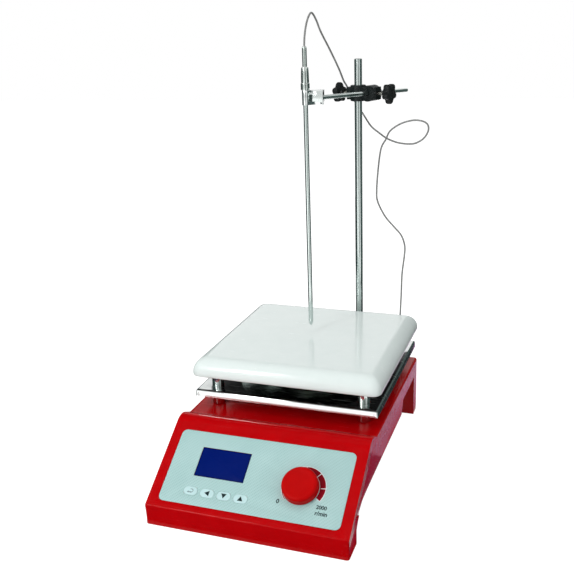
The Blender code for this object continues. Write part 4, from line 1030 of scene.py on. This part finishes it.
def makeStar(name, node, where, shankEnd, head, s):
    top, r, wave = head + s["thick"], s["radius"], s["lobe"]
    makeShank(name + "Shank", node, where, shankEnd, head)
    # round neck, lobed grip, then a dished round top
    rings = [(0.0040, 0, head - 0.003), (0.0045, 0, head - 0.0027), (0.0048, 0, head - 0.0003),
             (r - 0.0014, wave, head), (r - 0.0005, wave, head + 0.0003), (r - 0.0001, wave, head + 0.0010),
             (r, wave, head + 0.0018), (r, wave, top - 0.0019), (r - 0.0002, wave, top - 0.0010),
             (r - 0.0008, wave, top - 0.0003), (r - 0.0018, wave * 0.9, top), (r - 0.0040, wave * 0.5, top),
             (0.0038, 0, top - 0.0003), (0.0034, 0, top - 0.0009), (0.0006, 0, top - 0.0009)]
    makePiece(name, loft([starRing(*ring) for ring in rings]), "blackPlastic", node, node, where, smooth=34)


def makeArm(s):
    # its front end is cut to lie flat on the clip's flange
    lean = arm.inverted().to_3x3() @ turn(clipTurn, "Z").to_3x3() @ Vector((1, 0, 0))
    rings = [[(x, y, -s["reach"] - (x * lean.x + y * lean.y) / lean.z) for x, y in circle(s["radius"], 48)]]
    for reach, height in arc((s["radius"] - s["edge"], s["tail"] - s["edge"]), s["edge"], 0, 90, 5):
        rings.append([(x, y, height) for x, y in circle(reach, 48)])
    makePiece("clampArm", loft(rings), "groundStainless", "arm", "clamp_arm", arm, smooth=30)


def makeClip(s):
    # a ring round the sheath, a web that swings to the front, and a flange against the arm
    ring, reach = s["ring"], s["reach"]
    path = arc((0.0, 0.0), ring, -20, s["leave"], 44)
    x, y = path[-1]
    leaving, settling = math.radians(s["leave"] - 270), math.radians(s["settle"])
    radius = (reach - s["straight"] - x) / (math.sin(leaving) - math.sin(settling))
    centre = (x + radius * math.sin(leaving), y - radius * math.cos(leaving))
    path += arc(centre, radius, s["leave"] - 180, 90 + s["settle"], 24)[1:]
    edge = reach - s["sheet"] / 2
    path.append((edge, path[-1][1] + (edge - path[-1][0]) * math.tan(settling)))
    heights = span("probe_clip")
    flange = prism(ribbon([(reach, -ring), (reach, -ring + s["flange"])], s["sheet"]), *heights)
    makePiece("sheetClip", prism(ribbon(path, s["sheet"]), *heights), "trayStainless", "arm", "probe_clip",
              upright("probe_sheath") @ turn(clipTurn, "Z"), (), [(flange, identity)], 0.0001, 2, 40, 30)


def makeProbe(s):
    tip, (collar, top), (base, end) = low("probe_sheath").z, span("probe_handle"), span("probe_sleeve")
    r, bore, grip = s["sheath"], s["sheath"] + 0.0003, collar + s["collar"]
    tube = [(0.0, tip), *dome(r, s["tip"], tip, 8), (r, grip + 0.010), (0.0, grip + 0.010)]
    handle = [(bore, collar), (0.0038, collar), (0.0041, collar + 0.0002), (0.0042, collar + 0.0006),
              (0.0042, grip - 0.0006), (0.0041, grip - 0.0002), (0.0038, grip), (0.0037, grip + 0.0003),
              (0.0038, grip + 0.0007), (0.0037, top - 0.0060), (0.0034, top - 0.0012), (0.0031, top), (0.0, top),
              (0.0, grip + 0.0103), (bore, grip + 0.0103)]
    sleeve = [(0.0, base), (0.0022, base), (0.0022, end - 0.0016), (0.0021, end - 0.0006), (0.0018, end),
              (0.0, end)]
    for name, node, profile, finish in (("probeTube", "probe_sheath", tube, "groundStainless"),
                                        ("probeGrip", "probe_handle", handle, "turnedSteel"),
                                        ("probeSleeve", "probe_sleeve", sleeve, "turnedSteel")):
        makePiece(name, turned(profile, closed=profile is handle), finish, "probe", node, upright("probe_sheath"),
                  smooth=30)


star = {"radius": 0.0092, "lobe": 0.0013, "thick": 0.0065}
makeRod()
makeHolder({"pitch": 0.0085, "rise": 0.012, "head": 0.0023, "sunk": 0.0026})
makeHolderScrew({"radius": 0.0062, "head": 0.007})
makeClamp({"half": 0.008, "bar": 0.0068, "left": -0.0108, "right": 0.0240})
makeStar("rodStar", "rod_screw", clamp @ turn(180, "Z") @ sideways @ turn(36, "Z"), 0.0043, 0.0195, star)
makeStar("armStar", "arm_screw", clamp @ sideways, 0.0174, 0.0330, star)
makeArm({"radius": 0.0021, "reach": 0.087, "tail": 0.0768, "edge": 0.0006})
makeClip({"ring": 0.0029, "reach": 0.0164, "sheet": 0.0006, "leave": 325, "settle": 20, "straight": 0.0035,
          "flange": 0.0115})
makeProbe({"sheath": 0.0023, "tip": 0.0052, "collar": 0.0063})
print("rod, clamp and probe made")


def makeFeet(s):
    lift, stem, neck = s["lift"], s["cover"] + 0.0003, s["neck"]
    # hollow sole, neck through the cover, then the barb that holds it
    profile = [(0.0, 0.0), (0.0014, 0.0), (0.0018, 0.0003), (0.0034, 0.0003), (0.0037, 0.0), (0.0040, 0.0),
               (0.0043, 0.0003), (0.0044, 0.0006), (0.0044, lift), (neck, lift), (neck, stem), (0.0040, stem),
               (0.0034, stem + 0.0008), (0.0026, stem + 0.0013), (0.0, stem + 0.0013)]
    for corner in corners:
        foot = "foot_" + corner
        makeTurned("rubber_" + foot, profile, "footRubber", "base", foot, upright(foot), 40, 35)


def makeCoverScrews(s):
    for k in range(1, 5):
        node = "cover_screw_" + str(k)
        base, top = span(node)
        seat = base + s["seat"]
        profile = [(0.0, base), *dome(s["head"], s["crown"], base, 6), (s["head"], seat), (s["thread"], seat),
                   (s["thread"], top - 0.0013), (0.0006, top), (0.0, top)]
        x, y = s["cross"]
        cross = [(block((-x, x), (-y, y), (base - 0.001, base + 0.0009)), turn(angle, "Z")) for angle in (45, -45)]
        makePiece("panScrew" + str(k), turned(profile, 40), "zincPlate", "base", node, upright(node), cross,
                  smooth=32)


def makeInlet(s):
    centre = middle("power_inlet")
    where = place(centre.x, rearY, centre.z)
    flange = prism(rounded(*s["flange"], 0.003, 6), 0.0003, 0.0024)
    # the socket's opening with two cut corners, and the drawer's bay
    hole = [(-0.019, -0.0080), (0.005, -0.0080), (0.005, 0.004), (0.001, 0.0080), (-0.015, 0.0080), (-0.019, 0.004)]
    cuts = [(prism(hole, -0.016, 0.01), rearFacing),
            (block((0.0085, 0.0185), (-0.0235, 0.01), (-0.0095, 0.0095)), identity)]
    x, z = s["body"]
    makePiece("inletBody", block((-x, x), (-0.026, 0.0010), (-z, z)), "blackPlastic", "base", "power_inlet", where,
              cuts, [(flange, rearFacing)], 0.0003, 2)
    for k, (x, z) in enumerate(s["pins"]):
        makePiece("inletPin" + str(k + 1), block((x - 0.001, x + 0.001), (-0.0162, -0.003), (z - 0.002, z + 0.002)),
                  "pinBrass", "base", (), where, bevel=0.0004)
    refined("fuseDrawer", "fuse_drawer", "blackPlastic", "fuse_drawer", 0.0004, 3)


def makeSwitch(s):
    refined("switchFrame", "power_switch", "blackPlastic", "base")
    refined("switchRocker", "switch_rocker", "blackPlastic", "switch_rocker", 0.0004, 3)
    bar = ((-0.00025, -0.0012), (0.00025, -0.0012), (0.00025, 0.0012), (-0.00025, 0.0012))
    centre = place(middle("switch_rocker").x, rearY + 0.0005, middle("power_switch").z) @ turn(s["tilt"], "X")
    for name, side, outline in (("markOn", 1, bar), ("markOff", -1, circle(0.0014, 32))):
        # each mark lies on its own sloping half of the rocker
        facing = centre @ place(0, 0.0016) @ turn(side * s["slope"] - 90, "X")
        middleCut = [(prism(circle(0.0009, 32), -0.001, 0.001), identity)] if name == "markOff" else ()
        flat(name, outline, "printWhite", "switch_rocker", facing @ place(0, -side * s["height"], 0.00006), 0.00003,
             middleCut)


def makeProbePlug():
    socket = middle("probe_socket")
    where = place(socket.x, rearY, socket.z) @ rearFacing
    shell = [(0.0045, -0.0105), (0.0065, -0.0100), (0.0065, 0.0003), (0.0085, 0.0003), (0.0085, 0.0012),
             (0.0082, 0.0018), (0.0052, 0.0018), (0.0052, -0.0080), (0.0, -0.0080), (0.0, -0.0105)]
    makeTurned("socketShell", shell, "turnedSteel", "base", "probe_socket", where)
    body = [(0.0, -0.0076), (0.0049, -0.0076), (0.0049, 0.0022), (0.0066, 0.0022), (0.0070, 0.0026),
            (0.0070, 0.0116), (0.0066, 0.0124), (0.0060, 0.0131), (0.0, 0.0131)]
    # the cord's ribbed outlet points up
    neck = turned([(0.0034, 0.0), (0.0034, 0.0070), (0.0030, 0.0076), (0.0030, 0.0088), (0.0034, 0.0094),
                   (0.0034, 0.0104), (0.0029, 0.0110), (0.0027, 0.0122), (0.0030, 0.0128), (0.0027, 0.0140),
                   (0.0022, 0.0146), (0.0024, 0.0152), (0.0021, 0.0164), (0.0018, 0.0175)], 48)
    makePiece("plugBody", turned(body), "blackPlastic", "base", "probe_plug", where, (),
              [(neck, place(0, 0, 0.0080) @ turn(90, "X"))], 0.0002, 2, 40, 34)
    makeRibs("plugRibs", "blackPlastic", "base", where @ place(0, 0, 0.0068), Count=40, Radius=0.0070,
             Rib_Width=0.00045, Rib_Depth=0.0005, Rib_Length=0.0072)


makeFeet({"lift": 0.0012, "cover": 0.0030, "neck": 0.0027})
makeCoverScrews({"head": 0.0030, "crown": 0.0010, "seat": 0.0016, "thread": 0.0014, "cross": (0.0017, 0.00032)})
refined("bottomPan", "bottom_cover", "blackSteel", "base", 0.0002)
makeInlet({"flange": (0.047, 0.027), "body": (0.021, 0.011),
           "pins": ((-0.014, -0.002), (-0.007, 0.002), (0.0, -0.002))})
makeSwitch({"tilt": -8, "slope": 13.7, "height": 0.0052 * 1.02})
makeProbePlug()
for name, node, finish, body in (
        ("knobSpindle", "knob_shaft", "turnedSteel", "knob"),
        ("motorCan", "drive_motor", "zincPlate", "base"),
        ("motorPlate", "motor_bracket", "zincPlate", "base"),
        ("motorSpindle", "motor_shaft", "turnedSteel", "rotor"),
        ("spindleSeal", "shaft_seal", "footRubber", "base"),
        ("carrierDisc", "magnet_carrier", "zincPlate", "rotor"),
        ("magnetDiscNorth", "magnet_north", "magnetNickel", "rotor"),
        ("magnetDiscSouth", "magnet_south", "magnetNickel", "rotor"),
        ("heaterDisc", "heater", "micaSheet", "base"),
        ("insulationPad", "insulation", "woolPad", "base"),
        ("heaterLid", "heater_cover", "turnedSteel", "base"),
        ("displayModule", "lcd_module", "keyPlastic", "base"),
        ("encoderBody", "speed_encoder", "blackPlastic", "base"),
        ("controlBoard", "control_board", "boardGreen", "base"),
        ("powerBoard", "power_board", "boardGreen", "base"),
        ("transformerBlock", "transformer", "woundCopper", "base")):
    refined(name, node, finish, body, 0.00025)
print("underside, rear wall and inside made")


# studio: pale floor, dark above for light and gloss, lamps as power, size and place, upright flags as two
# bearings, distance and height round the rod, and mats on the floor; flags and mats show in reflections only
studio = {"above": 0.05, "fades": (0.35, 0.62), "floor": 0.42, "floorGlow": 0.95,
          "lamps": {"keySoftbox": (8.0, (1.1, 1.1), (-0.7, -0.9, 1.7)),
                    "fillSoftbox": (4.0, (1.4, 1.4), (1.6, -0.6, 1.1)),
                    "topSoftbox": (20.5, (2.0, 2.0), (0.2, 0.3, 2.2)),
                    "frontSoftbox": (3.6, (0.5, 0.5), (-0.39, -1.1, 0.55)),
                    "stripLamp": (2.8, (0.16, 0.5), (-0.51, -1.0, 0.79))},
          "flags": {"rightFlag": (25, 138, 0.55, 0.45, (0.09, 0.125, 0.12)),
                    "leftFlag": (-122, -30, 0.55, 0.45, (0.09, 0.125, 0.12)),
                    "frontFlag": (163, 192, 0.55, 0.45, (0.42, 0.46, 0.45)),
                    "lowBackFlag": (-40, 15, 0.6, 0.13, (0.02, 0.02, 0.02))},
          "mats": {"leftMat": (0.5, 0.7, (-0.42, 0.12, 0.001), (0.02, 0.02, 0.02)),
                   "rightMat": (0.54, 0.60, (0.388, 0.20, 0.001), (0.03, 0.04, 0.04)),
                   "sideMat": (0.056, 0.20, (0.121, -0.12, 0.002), (0.24, 0.08, 0.24)),
                   "legMat": (0.056, 0.17, (0.121, 0.065, 0.002), (1.0, 0.64, 1.0)),
                   "rearMat": (0.025, 0.20, (0.1055, 0.25, 0.002), (1.0, 0.64, 1.0)),
                   "frontMat": (0.42, 0.09, (-0.06, frontY - 0.05, 0.002), (0.02, 0.01, 0.05))}}


def seenBy(tree, *kinds):
    # 1 for the named kinds of ray, 0 for the rest
    path = addNode(tree, "LightPath").outputs
    total = path[kinds[0]]
    for kind in kinds[1:]:
        total = maths(tree, "MAXIMUM", total, path[kind])
    return total


def makeWorld(s):
    # white to the eye; for light and gloss bright round the sides and dark above
    world = bpy.data.worlds.new("studio")
    scene.world = world
    world.use_nodes = True
    tree = world.node_tree
    back = tree.nodes["Background"].inputs
    back["Color"].default_value = (1, 1, 1, 1)
    way = addNode(tree, "SeparateXYZ", {0: addNode(tree, "TexCoord").outputs["Generated"]}).outputs["Z"]
    sides = spread(tree, way, *s["fades"], 1.0, s["above"])
    seen = seenBy(tree, "Is Camera Ray", "Is Transmission Ray")
    tree.links.new(maths(tree, "MAXIMUM", sides, seen), back["Strength"])


def makeFloor(s):
    floor = newObject("floor", block((-4, 4), (-4, 4), (-0.02, -0.00005)))
    material, tree = newMaterial("paleFloor")
    tree.nodes.remove(tree.nodes["Principled BSDF"])
    cloth = addNode(tree, "BsdfDiffuse", {"Color": (s["floor"],) * 3 + (1,)})
    seen = seenBy(tree, "Is Camera Ray", "Is Glossy Ray", "Is Transmission Ray")
    strength = maths(tree, "MULTIPLY", seen, s["floorGlow"])
    glow = addNode(tree, "Emission", {"Color": (1, 1, 1, 1), "Strength": strength})
    both = addNode(tree, "AddShader", {0: cloth.outputs[0], 1: glow.outputs[0]})
    tree.links.new(both.outputs[0], tree.nodes["Material Output"].inputs["Surface"])
    floor.data.materials.append(material)


def makeLamp(name, power, size, spot):
    lamp = bpy.data.lights.new(name, "AREA")
    lamp.energy = power
    lamp.shape = "RECTANGLE"
    lamp.size, lamp.size_y = size
    made = addObject(name, lamp)
    made.location = spot
    made.rotation_euler = (Vector((0, 0, 0.08)) - Vector(spot)).to_track_quat("-Z", "Y").to_euler()
    made.visible_glossy = name == "stripLamp"


def makeFlag(name, width, height, centre, facing, tone):
    x, y = width / 2, height / 2
    flag = newObject(name, block((-x, x), (-y, y), (-0.001, 0.001)))
    way = Vector(facing) - Vector(centre)
    bearing = math.degrees(math.atan2(-way.x, way.y))
    tip = math.degrees(math.atan2(way.xy.length, way.z))
    flag.data.transform(place(*centre) @ turn(bearing, "Z") @ turn(-tip, "X"))
    material, tree = newMaterial(name)
    shader = tree.nodes["Principled BSDF"].inputs
    shader["Base Color"].default_value = (*tone, 1)
    shader["Roughness"].default_value = 1.0
    shader["Specular IOR Level"].default_value = 0.0
    flag.data.materials.append(material)
    flag.visible_camera = flag.visible_diffuse = flag.visible_shadow = flag.visible_transmission = False


def flagAround(name, first, last, distance, height, tone):
    # bearings count clockwise from the camera's way of looking
    view = math.radians(cameraView["azimuth"])
    ahead = Vector((-math.sin(view), math.cos(view), 0))
    foot = Vector((rod.x, rod.y, 0))
    left, right = (foot + turn(-bearing, "Z").to_3x3() @ ahead * distance for bearing in (first, last))
    between = (left + right) / 2 + Vector((0, 0, height / 2))
    makeFlag(name, (right - left).length, height, between, (foot.x, foot.y, height / 2), tone)


makeWorld(studio)
makeFloor(studio)
for name, lamp in studio["lamps"].items():
    makeLamp(name, *lamp)
for name, flag in studio["flags"].items():
    flagAround(name, *flag)
for name, (width, depth, spot, tone) in studio["mats"].items():
    makeFlag(name, width, depth, spot, (spot[0], spot[1], 1.0), tone)
print("studio made")


def plain(bounds):
    return [[float(value) for value in corner] for corner in bounds]
